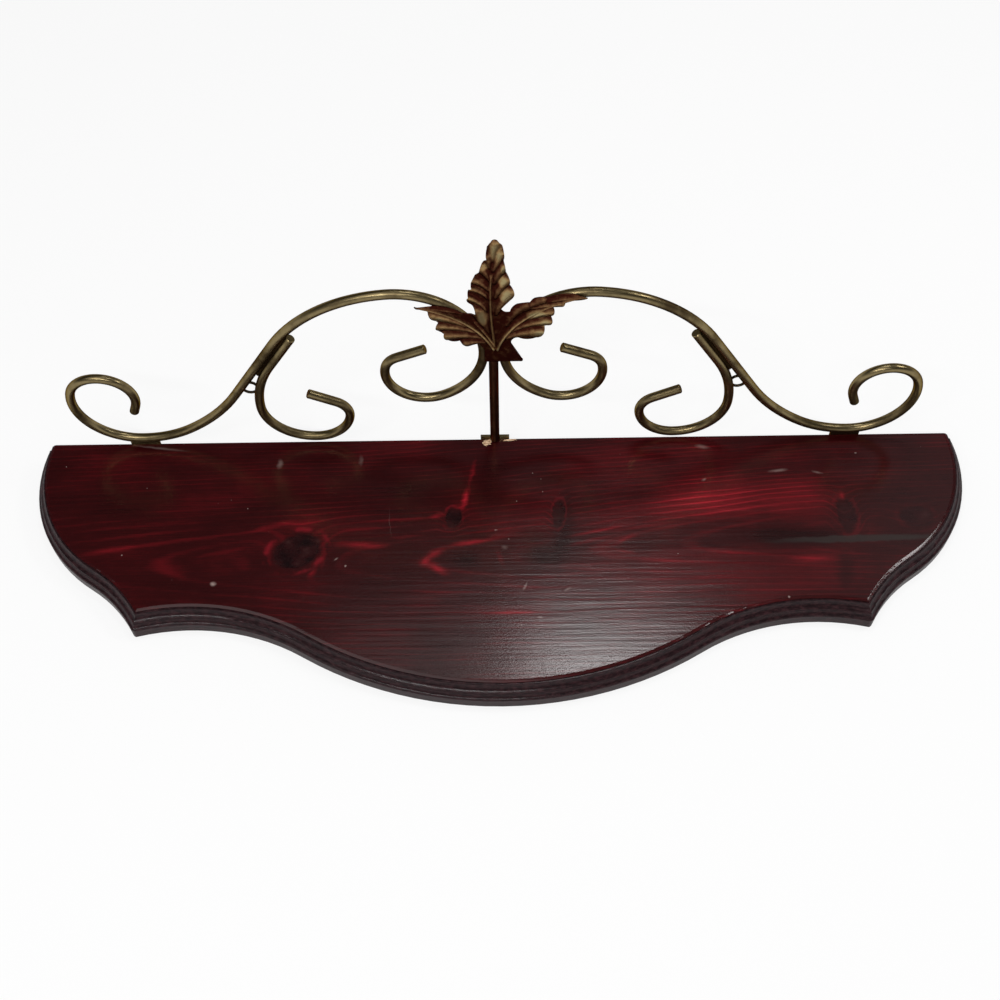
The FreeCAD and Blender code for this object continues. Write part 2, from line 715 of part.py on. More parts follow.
def build():
    pieces = {"shelf_board": shelf_board()}
    for name, shape in rail_pieces().items():
        pieces[name] = set_on_board(shape)
    return pieces


def main():
    os.makedirs("parts", exist_ok=True)
    for name, shape in build().items():
        print(name, len(shape.Solids), "solid(s), valid", shape.isValid(), "volume", round(shape.Volume, 1))
        shape.exportStep(os.path.join("parts", name + ".step"))


main()
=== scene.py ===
"""Looks of the wall shelf rack: stained knotty pine, an antique brass rail and a pressed leaf."""
import cmath
import math

import bmesh
import bpy
import numpy as np
from bpy.props import FloatProperty, PointerProperty, StringProperty
from mathutils import Matrix, Vector, noise


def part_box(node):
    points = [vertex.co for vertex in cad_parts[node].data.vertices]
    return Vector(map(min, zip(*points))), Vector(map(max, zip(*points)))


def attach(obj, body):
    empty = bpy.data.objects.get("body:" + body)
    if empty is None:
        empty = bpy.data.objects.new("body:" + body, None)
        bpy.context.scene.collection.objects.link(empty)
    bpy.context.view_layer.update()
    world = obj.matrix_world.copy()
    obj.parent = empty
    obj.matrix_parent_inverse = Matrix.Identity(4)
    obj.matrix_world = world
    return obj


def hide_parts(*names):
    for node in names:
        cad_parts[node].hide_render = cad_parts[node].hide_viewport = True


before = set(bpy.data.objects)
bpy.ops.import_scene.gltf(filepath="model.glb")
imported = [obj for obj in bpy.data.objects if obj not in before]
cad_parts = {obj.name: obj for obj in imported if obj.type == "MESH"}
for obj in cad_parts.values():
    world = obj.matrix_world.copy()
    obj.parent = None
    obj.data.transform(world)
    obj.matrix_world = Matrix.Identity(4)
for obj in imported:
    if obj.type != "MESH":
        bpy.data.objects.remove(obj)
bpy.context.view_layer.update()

bl_info = {
    "name": "Wall Shelf Rack Finishes",
    "version": (1, 0, 0),
    "blender": (4, 5, 0),
    "location": "3D View > Sidebar > Shelf Rack",
    "description": "Stained pine board, antique brass rail, pressed leaf and stage",
    "category": "Object",
}

MM = 0.001

# ---- places taken from the frame ----------------------------------------------------------------
BOARD_LOW, BOARD_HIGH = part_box("shelf_board")
TOP_Z = BOARD_HIGH.z
BACK_Y = BOARD_HIGH.y
LEAF_LOW, LEAF_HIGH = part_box("leaf_ornament")
LEAF_TIP_LEFT = 47.9           # from the root of the veins to the tip of the left leaf, in mm
LEAF_TIP_RISE = 90.9           # from the root of the veins to the tip of the centre leaf, in mm
LEAF_ROOT = Vector(
    (LEAF_LOW.x + LEAF_TIP_LEFT * MM, LEAF_HIGH.y, LEAF_HIGH.z - LEAF_TIP_RISE * MM)
)

# ---- camera, in mm from the middle of the board's underside -------------------------------------
CAMERA_PLACE = (-0.5, -426.1, 717.5)
CAMERA_PITCH = 56.06           # degrees below the horizon
CAMERA_ROLL = 0.78             # degrees, clockwise
CAMERA_FOCAL = 46.85
SENSOR_WIDTH = 36.0

# ---- lamps, floor and room ----------------------------------------------------------------------
# Each lamp is a name, a place, a target and a size in metres, and its share of the power set for
# the small lamps. In turn they light the front of the board, the sheen left of it, the right
# end, the moulding and the right rim.
LAMPS = (
    ("key_lamp", (0.17, 0.455, 1.18), (0.07, -0.09, 0.02), (0.25, 0.11), 0.52),
    ("sheen_lamp", (-0.02, 0.48, 1.18), (-0.01, -0.08, 0.02), (0.5, 0.18), 0.08),
    ("veil_lamp", (0.66, 0.68, 0.99), (0.27, 0.03, 0.02), (0.24, 0.34), 0.022),
    ("front_lamp", (-0.3, -0.9, 1.3), (-0.1, 0.0, 0.0), (1.0, 0.04), 3.0),
    ("side_lamp", (0.89, 0.21, 0.99), (0.27, -0.03, 0.02), (0.46, 0.14), 1.0),
)
FILL_PLACE = (-0.5, -0.4, 1.6)
FILL_SIZE = (1.2, 1.2)
FLOOR_GAP = 0.0002             # metres between the floor and the board
FLOOR_WHITE = 0.8              # how far the floor shows white where it is seen
WALL_TOP = 0.05                # sine of the height up to which the room's walls are white in gloss
CEILING_EDGE = 0.45            # sine of the height from which the ceiling is dim in gloss
CEILING_GLOW = 0.012           # how bright the ceiling is there

# ---- the board's grain, in mm from the middle of the board --------------------------------------
RING_SPACING = 2.8             # between growth rings
RING_AT_FLAME = 42.5           # radius of the ring that ends in the large flame, left of centre
PITH_DEPTH = 40.0              # of the tree's heart below the top, at the middle of the board
PITH_RISE = 0.05               # the heart comes nearer to the surface to the right
PITH_LINE = (-90.0, 220.0, -2.0, 13.5)  # the heart's first and last X, and its Y at each
THROUGH = 1e4                  # half height of a mark, so large that depth makes no difference
RING_WANDER = 9.0              # how far the rings stray from side to side
KNOT_PUSH = 0.5                # share of its half width by which a knot pushes the rings aside
KNOT_PUSH_REACH = 2.4          # how far it pushes them, in its own size
KNOT_HALO_REACH = 1.6          # how far its red halo reaches, in its own size
MARK_STRAY = (6.0, 3.0, 0.0)   # how far a mark's outline strays along and across the grain
# How much late wood there is at each place in a ring, from one ring's start to the next.
LATE_WOOD_STOPS = ((0.0, 0.0), (0.28, 0.05), (0.47, 1.0), (0.55, 0.8), (0.66, 0.12), (1.0, 0.0))
MOULDING_START = (1.2, 0.55)   # depths between which the top's colour gives way to the moulding's
LACQUER_RELIEF = 0.1           # depth of the brush lines in the lacquer
# Each mark of the grain is x, y, half length, half width, turn in degrees, strength.
KNOTS = (
    (-129.3, 7.2, 15.4, 12.0, 28.0, 1.0),
    (221.2, 29.0, 6.4, 12.5, 0.0, 0.72),
    (-30.6, 30.5, 5.0, 7.5, -12.0, 0.9),
    (37.0, 32.5, 4.0, 10.0, -10.0, 0.75),
    (266.0, 27.0, 10.5, 8.0, -10.0, 0.55),
)
# Where the stain took strongly (+) or went dark (-).
STAIN_PATCHES = (
    (150.0, 41.0, 84.0, 25.0, 3.0, 0.34),
    (90.0, 30.0, 62.0, 20.0, 10.0, 0.18),
    (192.0, 44.0, 36.0, 24.0, 0.0, 0.16),
    (130.0, 70.0, 130.0, 40.0, 0.0, 0.12),
    (140.0, -8.0, 120.0, 34.0, 0.0, 0.12),
    (262.0, 45.0, 42.0, 70.0, 0.0, -0.02),
    (-60.0, 55.0, 48.0, 34.0, 0.0, -0.10),
    (-7.0, 57.0, 15.0, 42.0, -4.0, -0.10),
    (40.0, 22.0, 9.0, 40.0, -8.0, -0.16),
    (26.0, -1.0, 16.0, 12.0, 0.0, -0.18),
    (-22.0, -1.0, 15.0, 8.0, 0.0, -0.16),
    (70.0, 72.0, 60.0, 22.0, 0.0, 0.04),
    (-205.0, -12.0, 60.0, 16.0, -10.0, -0.07),
    (-160.0, -6.0, 24.0, 22.0, 0.0, -0.10),
    (-255.0, 45.0, 60.0, 26.0, 0.0, -0.08),
    (187.0, 13.0, 48.0, 11.0, 0.0, -0.34),
    (214.0, -12.0, 9.0, 17.0, -10.0, -0.16),
    (118.0, 9.0, 62.0, 8.0, 1.0, -0.14),
    (-5.0, -38.0, 46.0, 9.0, 0.0, 0.14),
    (196.0, -3.0, 22.0, 5.0, 0.0, 0.24),
    (-128.0, 28.0, 22.0, 8.0, 8.0, 0.16),
    (-207.0, -4.0, 17.0, 8.0, -14.0, 0.20),
)
# Bright late wood that shows as single lines and flames.
BRIGHT_STREAKS = (
    (-250.0, 9.5, 24.0, 3.6, 9.0, 0.30),
    (-206.0, 15.6, 52.0, 2.7, 7.5, 0.22),
    (-150.0, 24.8, 22.0, 3.1, 15.0, 0.28),
    (-229.0, 20.6, 56.0, 2.1, 7.0, 0.16),
    (-232.0, 28.0, 56.0, 2.0, 5.0, 0.10),
    (-176.0, 7.0, 28.0, 2.5, 12.0, 0.16),
    (-90.0, 11.2, 24.0, 4.2, -3.0, 0.46),
    (-62.0, 16.5, 18.0, 2.1, 6.0, 0.18),
    (-62.0, 29.8, 28.0, 2.5, 3.0, 0.20),
    (-41.0, 32.6, 8.0, 3.1, 16.0, 0.40),
    (-85.0, 23.2, 30.0, 2.0, 0.0, 0.12),
    (-23.5, 46.0, 3.4, 12.0, -16.0, 0.62),
    (-18.5, 66.0, 2.4, 16.0, -9.0, 0.34),
    (-27.5, 38.5, 5.0, 4.8, 40.0, 0.30),
    (-43.0, 3.5, 11.0, 4.8, 38.0, 0.42),
    (-21.0, 11.8, 19.0, 3.4, 8.0, 0.50),
    (0.0, 17.0, 18.0, 4.5, 20.0, 0.16),
    (-40.0, -7.2, 12.0, 5.0, -33.0, 0.50),
    (-48.5, -1.8, 5.5, 5.0, 0.0, 0.36),
    (-1.0, 0.0, 3.0, 9.0, 22.0, 0.20),
    (56.0, 12.0, 24.0, 2.4, 14.0, 0.26),
    (92.0, 22.5, 28.0, 2.2, 9.0, 0.22),
    (62.0, 20.0, 28.0, 2.2, 15.0, 0.20),
    (78.0, 12.5, 12.0, 2.5, 26.0, 0.28),
    (78.0, 3.6, 11.0, 2.1, -12.0, 0.24),
    (56.0, -5.4, 30.0, 1.7, 0.0, 0.20),
    (130.0, -15.2, 32.0, 1.3, 1.5, 0.22),
    (42.0, -12.5, 34.0, 1.7, 3.0, 0.16),
    (8.0, -38.5, 26.0, 2.2, 2.0, 0.26),
    (-118.0, -9.0, 3.0, 6.0, -40.0, 0.30),
    (-112.5, 4.0, 2.4, 15.0, 4.0, 0.20),
    (220.6, 43.5, 2.4, 6.0, 0.0, 0.34),
    (150.0, 34.0, 52.0, 2.2, 7.0, 0.16),
    (136.0, 45.5, 60.0, 2.0, 6.0, 0.14),
)
# Wax smears, rubs and chips in the lacquer.
PALE_RUBS = (
    (-146.0, 75.0, 2.6, 5.0, 0.0, 0.26),
    (-179.2, -15.8, 2.6, 2.2, 20.0, 0.75),
    (-240.0, 6.3, 0.9, 0.8, 0.0, 0.8),
    (-97.5, -4.0, 1.1, 1.2, 0.0, 0.7),
    (-104.5, 1.0, 2.4, 0.7, 30.0, 0.5),
    (134.6, 84.6, 6.5, 2.6, -8.0, 0.26),
    (182.0, 64.2, 8.0, 1.8, 4.0, 0.30),
    (208.0, 62.6, 5.0, 1.4, -16.0, 0.24),
    (132.6, 58.0, 2.2, 1.4, 30.0, 0.34),
    (14.6, -20.6, 1.2, 4.4, -14.0, 0.38),
    (41.0, -23.0, 4.0, 1.1, 24.0, 0.34),
    (-92.0, 77.0, 2.2, 6.0, 0.0, 0.14),
    (1.5, 8.0, 3.0, 2.4, 0.0, 0.16),
    (-3.4, 21.0, 1.6, 0.7, 0.0, 0.55),
    (5.0, 14.0, 1.0, 0.7, 0.0, 0.55),
    (23.2, -42.8, 2.2, 0.7, 0.0, 0.6),
    (-228.0, 89.5, 24.0, 1.3, -8.0, 0.26),
    (176.4, -30.6, 1.0, 1.2, 0.0, 0.8),
    (-71.0, 28.0, 0.4, 15.0, 4.0, 0.09),
    (234.6, 77.6, 1.0, 0.8, 0.0, 0.7),
)
STREAK = (226.0, 11.0, 74.0, 3.6, 1.0, 1.0)  # grey resin streak that runs off the right end

# ---- leaf ornament, in mm right of and above the root of its veins ------------------------------
# A stroke of the outline is (via, end) for an arc or (end,) for a straight line.
OUTLINE_START = (8.1, 31.6)
OUTLINE_STROKES = (
    ((3.8, 32.6), (3.9, 37.0)),
    ((8.6, 43.4),),
    ((10.6, 49.8), (7.6, 54.7)),
    ((8.2, 59.2), (5.9, 64.2)),
    ((5.8, 67.9), (4.6, 73.8)),
    ((4.5, 83.2), (2.0, 89.2)),
    ((-0.3, 90.9), (-2.6, 89.0)),
    ((-4.2, 85.8), (-4.8, 82.3)),
    ((-5.3, 79.3), (-4.9, 75.8)),
    ((-8.2, 70.2), (-9.6, 64.0)),
    ((-13.4, 59.8), (-13.8, 52.8)),
    ((-16.2, 48.7), (-15.9, 45.4)),
    ((-17.0, 42.2), (-14.8, 39.1)),
    ((-12.8, 35.7), (-12.5, 30.3)),
    ((-18.0, 30.6),),
    ((-32.0, 36.8), (-47.9, 36.9)),
    ((-43.5, 34.3), (-40.0, 33.3)),
    ((-38.0, 27.5), (-34.2, 23.8)),
    ((-35.8, 18.6), (-31.3, 14.5)),
    ((-30.0, 8.7), (-22.1, 7.2)),
    ((-17.4, 2.9), (-11.0, 5.0)),
    ((-7.4, -1.5),),
    ((-7.4, -12.7),),
    ((14.2, -12.7),),
    ((15.8, -12.2), (15.4, -10.4)),
    ((9.0, 3.5),),
    ((9.6, 7.6), (12.8, 9.5)),
    ((26.2, 11.2), (28.6, 19.5)),
    ((33.0, 23.3), (31.8, 28.1)),
    ((34.1, 31.8), (33.4, 35.6)),
    ((38.6, 37.0), (40.4, 40.3)),
    ((47.5, 41.3), (53.0, 43.8)),
    ((42.0, 46.3), (31.0, 43.9)),
    ((24.8, 44.4), (19.5, 39.9)),
    ((13.0, 38.7), (8.1, 31.6)),
)
# The crest of each lobe as start, bend and end, then its half width at both ends and its height.
LOBES = (
    ((-3.0, 12.0), (-8.0, 24.0), (-11.0, 33.0), 1.4, 4.2, 1.6),
    ((-5.5, 33.0), (-9.0, 42.0), (-16.2, 45.0), 1.0, 2.5, 1.9),
    ((-4.5, 43.0), (-7.0, 50.0), (-14.5, 52.5), 1.0, 2.3, 1.8),
    ((-4.0, 50.0), (-8.0, 57.5), (-13.0, 59.0), 1.0, 3.2, 1.7),
    ((-3.5, 58.0), (-6.0, 66.0), (-9.0, 68.0), 1.0, 3.0, 1.6),
    ((-3.0, 68.0), (-4.0, 74.0), (-5.0, 78.0), 1.0, 2.6, 1.5),
    ((0.0, 30.0), (2.5, 40.0), (9.5, 49.0), 1.2, 4.8, 2.0),
    ((-0.5, 44.0), (2.0, 53.0), (7.6, 59.5), 1.2, 3.8, 1.9),
    ((-1.0, 56.0), (1.0, 64.0), (5.5, 70.0), 1.2, 3.4, 1.7),
    ((-1.5, 66.0), (1.5, 73.0), (3.5, 80.0), 1.2, 3.0, 1.6),
    ((-1.5, 74.0), (-1.2, 80.0), (-0.4, 88.0), 1.2, 3.8, 1.5),
    ((-10.0, 15.5), (-22.0, 25.5), (-38.0, 29.8), 1.2, 4.0, 1.9),
    ((-9.0, 13.0), (-20.0, 20.0), (-34.5, 20.4), 1.0, 3.6, 1.9),
    ((-7.0, 9.0), (-16.0, 13.5), (-29.5, 12.0), 1.0, 3.9, 1.9),
    ((-5.0, 5.0), (-11.0, 7.5), (-18.0, 5.0), 0.8, 3.2, 1.6),
    ((-20.0, 31.0), (-30.0, 34.5), (-46.0, 37.0), 1.0, 1.8, 1.2),
    ((20.0, 35.0), (28.0, 37.5), (38.5, 38.6), 1.0, 2.6, 1.9),
    ((6.0, 14.0), (16.0, 30.0), (32.0, 31.5), 1.0, 3.4, 1.9),
    ((5.0, 11.5), (15.0, 23.0), (31.5, 23.5), 1.0, 3.4, 1.9),
    ((3.0, 7.0), (12.0, 15.0), (27.0, 14.0), 1.0, 5.0, 1.9),
    ((6.0, 20.0), (11.0, 33.0), (17.0, 36.5), 1.0, 4.0, 1.3),
    ((16.0, 33.0), (20.0, 38.0), (27.0, 41.5), 1.0, 3.8, 1.4),
    ((26.0, 39.0), (33.0, 42.0), (52.0, 44.0), 1.0, 2.6, 1.5),
)
# The midribs as start, bend and end, then their half width at both ends and their height.
MIDRIBS = (
    ((-0.6, 0.0), (-4.6, 32.0), (-2.6, 62.0), 0.9, 0.6, 2.5),
    ((-1.6, 0.0), (-13.0, 28.0), (-44.0, 36.4), 1.0, 0.7, 2.6),
    ((0.6, 0.0), (9.0, 31.0), (47.0, 43.2), 1.0, 0.7, 2.6),
    ((-1.2, 3.0), (-6.0, 14.0), (-13.0, 24.0), 0.7, 0.4, 2.2),
)
LOBE_RISE = (0.35, 0.65)       # share of its height that a lobe has at its root, and gains
LOBE_ROUNDNESS = 0.8           # share of its height that a lobe has lost at its half width
RIB_FALL = 0.35                # share of its height that a midrib loses towards its tip
GROOVE_DEPTH = 0.9             # of the groove on both sides of a midrib
GROOVE_WIDTH = 0.6
GROOVE_OFFSET = 1.5            # where its deepest line runs, in half widths of the midrib
CREST_POINTS = 25              # that a curved crest is measured against
SHEET = 0.8                    # thickness of the leaf's sheet
CELL = 0.5                     # spacing of its mesh
CUT_TOLERANCE = 0.01           # nearer to a cut than this, a corner counts as on it
SLIVER = 0.02                  # shorter edges are dissolved
RUB_START = 0.6                # height from which the patina is rubbed off
RUB_SPAN = 2.2                 # and over which it goes
RUB_GAIN = 1.6                 # how soon a rubbed patch is bare, from its edge to its middle
# Where the brass shows through the patina, partly worn and partly painted highlight where lobes
# # and the tip of the centre leaf face the light: right, above, half width, half height.
RUBBED_AND_HIGHLIGHT_PATCHES = (
    (0.6, 82.0, 5.0, 10.0),
    (5.4, 47.0, 4.6, 6.0),
    (3.6, 59.0, 3.4, 5.0),
    (4.6, 68.0, 1.8, 4.0),
    (-8.0, 28.0, 3.6, 7.5),
    (-6.0, 70.0, 3.0, 3.0),
    (29.0, 22.0, 4.0, 5.0),
    (24.0, 30.0, 7.0, 4.0),
    (26.0, 14.0, 4.0, 3.0),
    (-34.0, 27.0, 4.0, 3.0),
)

# ---- laps of the scrolls and chips at the post, in mm -------------------------------------------
RAIL_MIDDLE = -3.3             # X of the rail's middle
LAP_CREVICE = ((146.8, 90.6), (125.6, 123.8))  # its lower and upper end, outwards and up
LAP_FILL_LOW = 3.6             # width of the brazing at the lower end
LAP_FILL_HIGH = 2.6            # and at the upper end
LAP_FILL_DEPTH = 3.6           # from front to back
# Each chip is x, y, length, width, thickness and turn in degrees.
CHIPS = (
    (-8.6, 90.3, 6.0, 4.4, 1.4, 12),
    (-6.6, 92.0, 5.0, 1.6, 1.8, 30),
    (6.5, 92.0, 9.0, 1.3, 1.2, 4),
)
CHIP_WOBBLE = 0.5              # share of its size by which a chip's surface strays
CHIP_LUMPS = 4.0               # lumps across a chip
CHIP_SHIFT = 7.0               # moves the lumps on from one chip to the next


# ---- sizes and colours a user would change ------------------------------------------------------

class RackFinishes(bpy.types.PropertyGroup):
    ring_spacing: FloatProperty(
        name="Growth ring spacing", description="Between growth rings on the board, in mm",
        default=RING_SPACING, min=0.5, max=20.0,
    )
    stain_dark: StringProperty(
        name="Stain, dark", description="Stain where it soaked in, as an sRGB hex value",
        default="#1c0203",
    )
    stain_red: StringProperty(
        name="Stain, red", description="Stain on the hard wood, as an sRGB hex value",
        default="#740c17",
    )
    moulding: StringProperty(
        name="Moulding", description="Stain on the moulded edge, as an sRGB hex value",
        default="#1b0e11",
    )
    brass: StringProperty(
        name="Brass", description="Polished colour of the rail, as an sRGB hex value",
        default="#867756",
    )
    patina: StringProperty(
        name="Patina", description="Dark tone of the aged metal, as an sRGB hex value",
        default="#2c1c0e",
    )
    leaf_relief: FloatProperty(
        name="Leaf relief", description="Factor on the height of the leaf's lobes and ribs",
        default=1.0, min=0.2, max=2.0, subtype="FACTOR",
    )


class StageSettings(bpy.types.PropertyGroup):
    floor_radius: FloatProperty(
        name="Floor radius", description="Radius of the pale floor", default=6.0, unit="LENGTH",
    )
    key_power: FloatProperty(
        name="Small lamps", description="Power that the small lamps take their shares of",
        default=3.0, unit="POWER",
    )
    fill_power: FloatProperty(
        name="Fill lamp", description="Power of the large lamp overhead",
        default=5.0, unit="POWER",
    )
    world_strength: FloatProperty(
        name="Room light", description="Strength of the even light from all around", default=0.45,
    )


# ---- small helpers ------------------------------------------------------------------------------

def linear(text):
    """An sRGB hex value as a linear colour with an alpha of 1."""
    parts = [int(text[start:start + 2], 16) / 255 for start in (1, 3, 5)]
    lit = [part / 12.92 if part <= 0.04045 else ((part + 0.055) / 1.055) ** 2.4 for part in parts]
    return (*lit, 1.0)


def add_node(tree, kind, inputs=None, **settings):
    """Adds a node. An input may be a value, a socket, or a node whose first output is meant.

    A Mix node has a pair of inputs for each kind of value: 2 and 3 for numbers, and 6 and 7 for
    colours, which come out of its output 2.
    """
    node = tree.nodes.new(kind)
    for name, value in settings.items():
        setattr(node, name, value)
    pairs = inputs.items() if isinstance(inputs, dict) else enumerate(inputs or ())
    for key, value in pairs:
        if isinstance(value, bpy.types.Node):
            value = value.outputs[0]
        if isinstance(value, bpy.types.NodeSocket):
            tree.links.new(value, node.inputs[key])
        else:
            node.inputs[key].default_value = value
    return node


def set_stops(ramp, stops, interpolation="LINEAR"):
    """Gives a colour ramp its stops, as (place, colour or grey). Greys are read from its Alpha."""
    band = ramp.color_ramp
    band.interpolation = interpolation
    while len(band.elements) > 1:
        band.elements.remove(band.elements[-1])
    for index, (place, colour) in enumerate(stops):
        element = band.elements[0] if index == 0 else band.elements.new(place)
        element.position = place
        element.color = (colour,) * 4 if isinstance(colour, float) else colour
    return ramp


def new_material(name):
    """An empty material with its node tree and its output."""
    material = bpy.data.materials.new(name)
    material.use_nodes = True
    material.node_tree.nodes.clear()
    output = add_node(material.node_tree, "ShaderNodeOutputMaterial")
    return material, material.node_tree, output


def place_in_mm(tree):
    """Object coordinates in millimetres."""
    coordinates = add_node(tree, "ShaderNodeTexCoord").outputs["Object"]
    return add_node(
        tree, "ShaderNodeVectorMath", {0: coordinates, "Scale": 1 / MM}, operation="SCALE"
    )


def dress(names, material):
    """Puts a material on every slot of the named frame nodes."""
    for name in names:
        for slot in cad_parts[name].material_slots:
            slot.material = material


def mesh_object(name, bm, material):
    """A mesh object of one material, made of a bmesh that is freed."""
    mesh = bpy.data.meshes.new(name)
    bm.to_mesh(mesh)
    bm.free()
    mesh.materials.append(material)
    made = bpy.data.objects.new(name, mesh)
    bpy.context.scene.collection.objects.link(made)
    return made


def new_piece(name, bm, material, body="root", replaced=()):
    """A mesh object that rides on a body of the rack, in place of the frame nodes it replaces."""
    piece = mesh_object(name, bm, material)
    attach(piece, body)
    if replaced:
        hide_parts(*replaced)
    return piece


# ---- materials ----------------------------------------------------------------------------------

def mark_glow(tree, place, mark, reach=1.0):
    """1 in the middle of a mark, falling evenly to 0 at reach times its outline."""
    x, y, length, width, turn, _ = mark
    moved = add_node(
        tree, "ShaderNodeMapping",
        {"Vector": place, "Location": (x, y, 0), "Rotation": (0, 0, math.radians(turn)),
         "Scale": (length * reach, width * reach, THROUGH)},
        vector_type="TEXTURE",
    )
    glow = add_node(tree, "ShaderNodeTexGradient", [moved], gradient_type="SPHERICAL")
    return glow.outputs["Fac"]


def ease(tree, value, low, high):
    """0 below low, 1 above high and a soft step between."""
    return add_node(
        tree, "ShaderNodeMapRange", {"Value": value, "From Min": low, "From Max": high},
        interpolation_type="SMOOTHSTEP",
    )


def add_marks(tree, place, marks, total):
    """Adds each mark's strength, fading from its middle, to a total."""
    for mark in marks:
        *_, strength = mark
        mask = ease(tree, mark_glow(tree, place, mark), 0.0, 1.0)
        total = add_node(tree, "ShaderNodeMath", [mask, strength, total], operation="MULTIPLY_ADD")
    return total


def stretched_noise(tree, place, scale, detail, roughness=0.5):
    """Noise with its own number of waves per mm along each axis."""
    moved = add_node(tree, "ShaderNodeMapping", {"Vector": place, "Scale": scale})
    return add_node(
        tree, "ShaderNodeTexNoise",
        {"Vector": moved, "Scale": 1.0, "Detail": detail, "Roughness": roughness},
    )


def growth_rings(tree, place, spacing):
    """How many rings a place lies outside the ring that ends in the large flame.

    The rings are cones round the tree's heart, which runs under the board and rises to the
    right, so they surface as flames that point left. Knots push them aside.
    """
    axes = add_node(tree, "ShaderNodeSeparateXYZ", [place])
    wander = stretched_noise(tree, place, (0.008, 0.03, 0.03), 2.0)
    wander = add_node(
        tree, "ShaderNodeMath", [wander, RING_WANDER, -RING_WANDER / 2], operation="MULTIPLY_ADD"
    )
    along = axes.outputs["X"]
    start, end, start_y, end_y = PITH_LINE
    heart = add_node(
        tree, "ShaderNodeMapRange",
        {"Value": along, "From Min": start, "From Max": end, "To Min": start_y, "To Max": end_y},
        interpolation_type="SMOOTHSTEP",
    )
    across = add_node(tree, "ShaderNodeMath", [axes.outputs["Y"], heart], operation="SUBTRACT")
    across = add_node(tree, "ShaderNodeMath", [across, wander])
    depth = add_node(
        tree, "ShaderNodeMath", [along, -PITH_RISE, PITH_DEPTH], operation="MULTIPLY_ADD"
    )
    squared = add_node(tree, "ShaderNodeMath", [depth, depth], operation="MULTIPLY")
    squared = add_node(tree, "ShaderNodeMath", [across, across, squared], operation="MULTIPLY_ADD")
    radius = add_node(tree, "ShaderNodeMath", [squared], operation="SQRT")
    for knot in KNOTS:
        _, _, _, half_width, _, _ = knot
        push = KNOT_PUSH * half_width
        near = ease(tree, mark_glow(tree, place, knot, KNOT_PUSH_REACH), 0.0, 1.0)
        radius = add_node(tree, "ShaderNodeMath", [near, push, radius], operation="MULTIPLY_ADD")
    outside = add_node(tree, "ShaderNodeMath", [radius, RING_AT_FLAME], operation="SUBTRACT")
    return add_node(tree, "ShaderNodeMath", [outside, spacing], operation="DIVIDE")


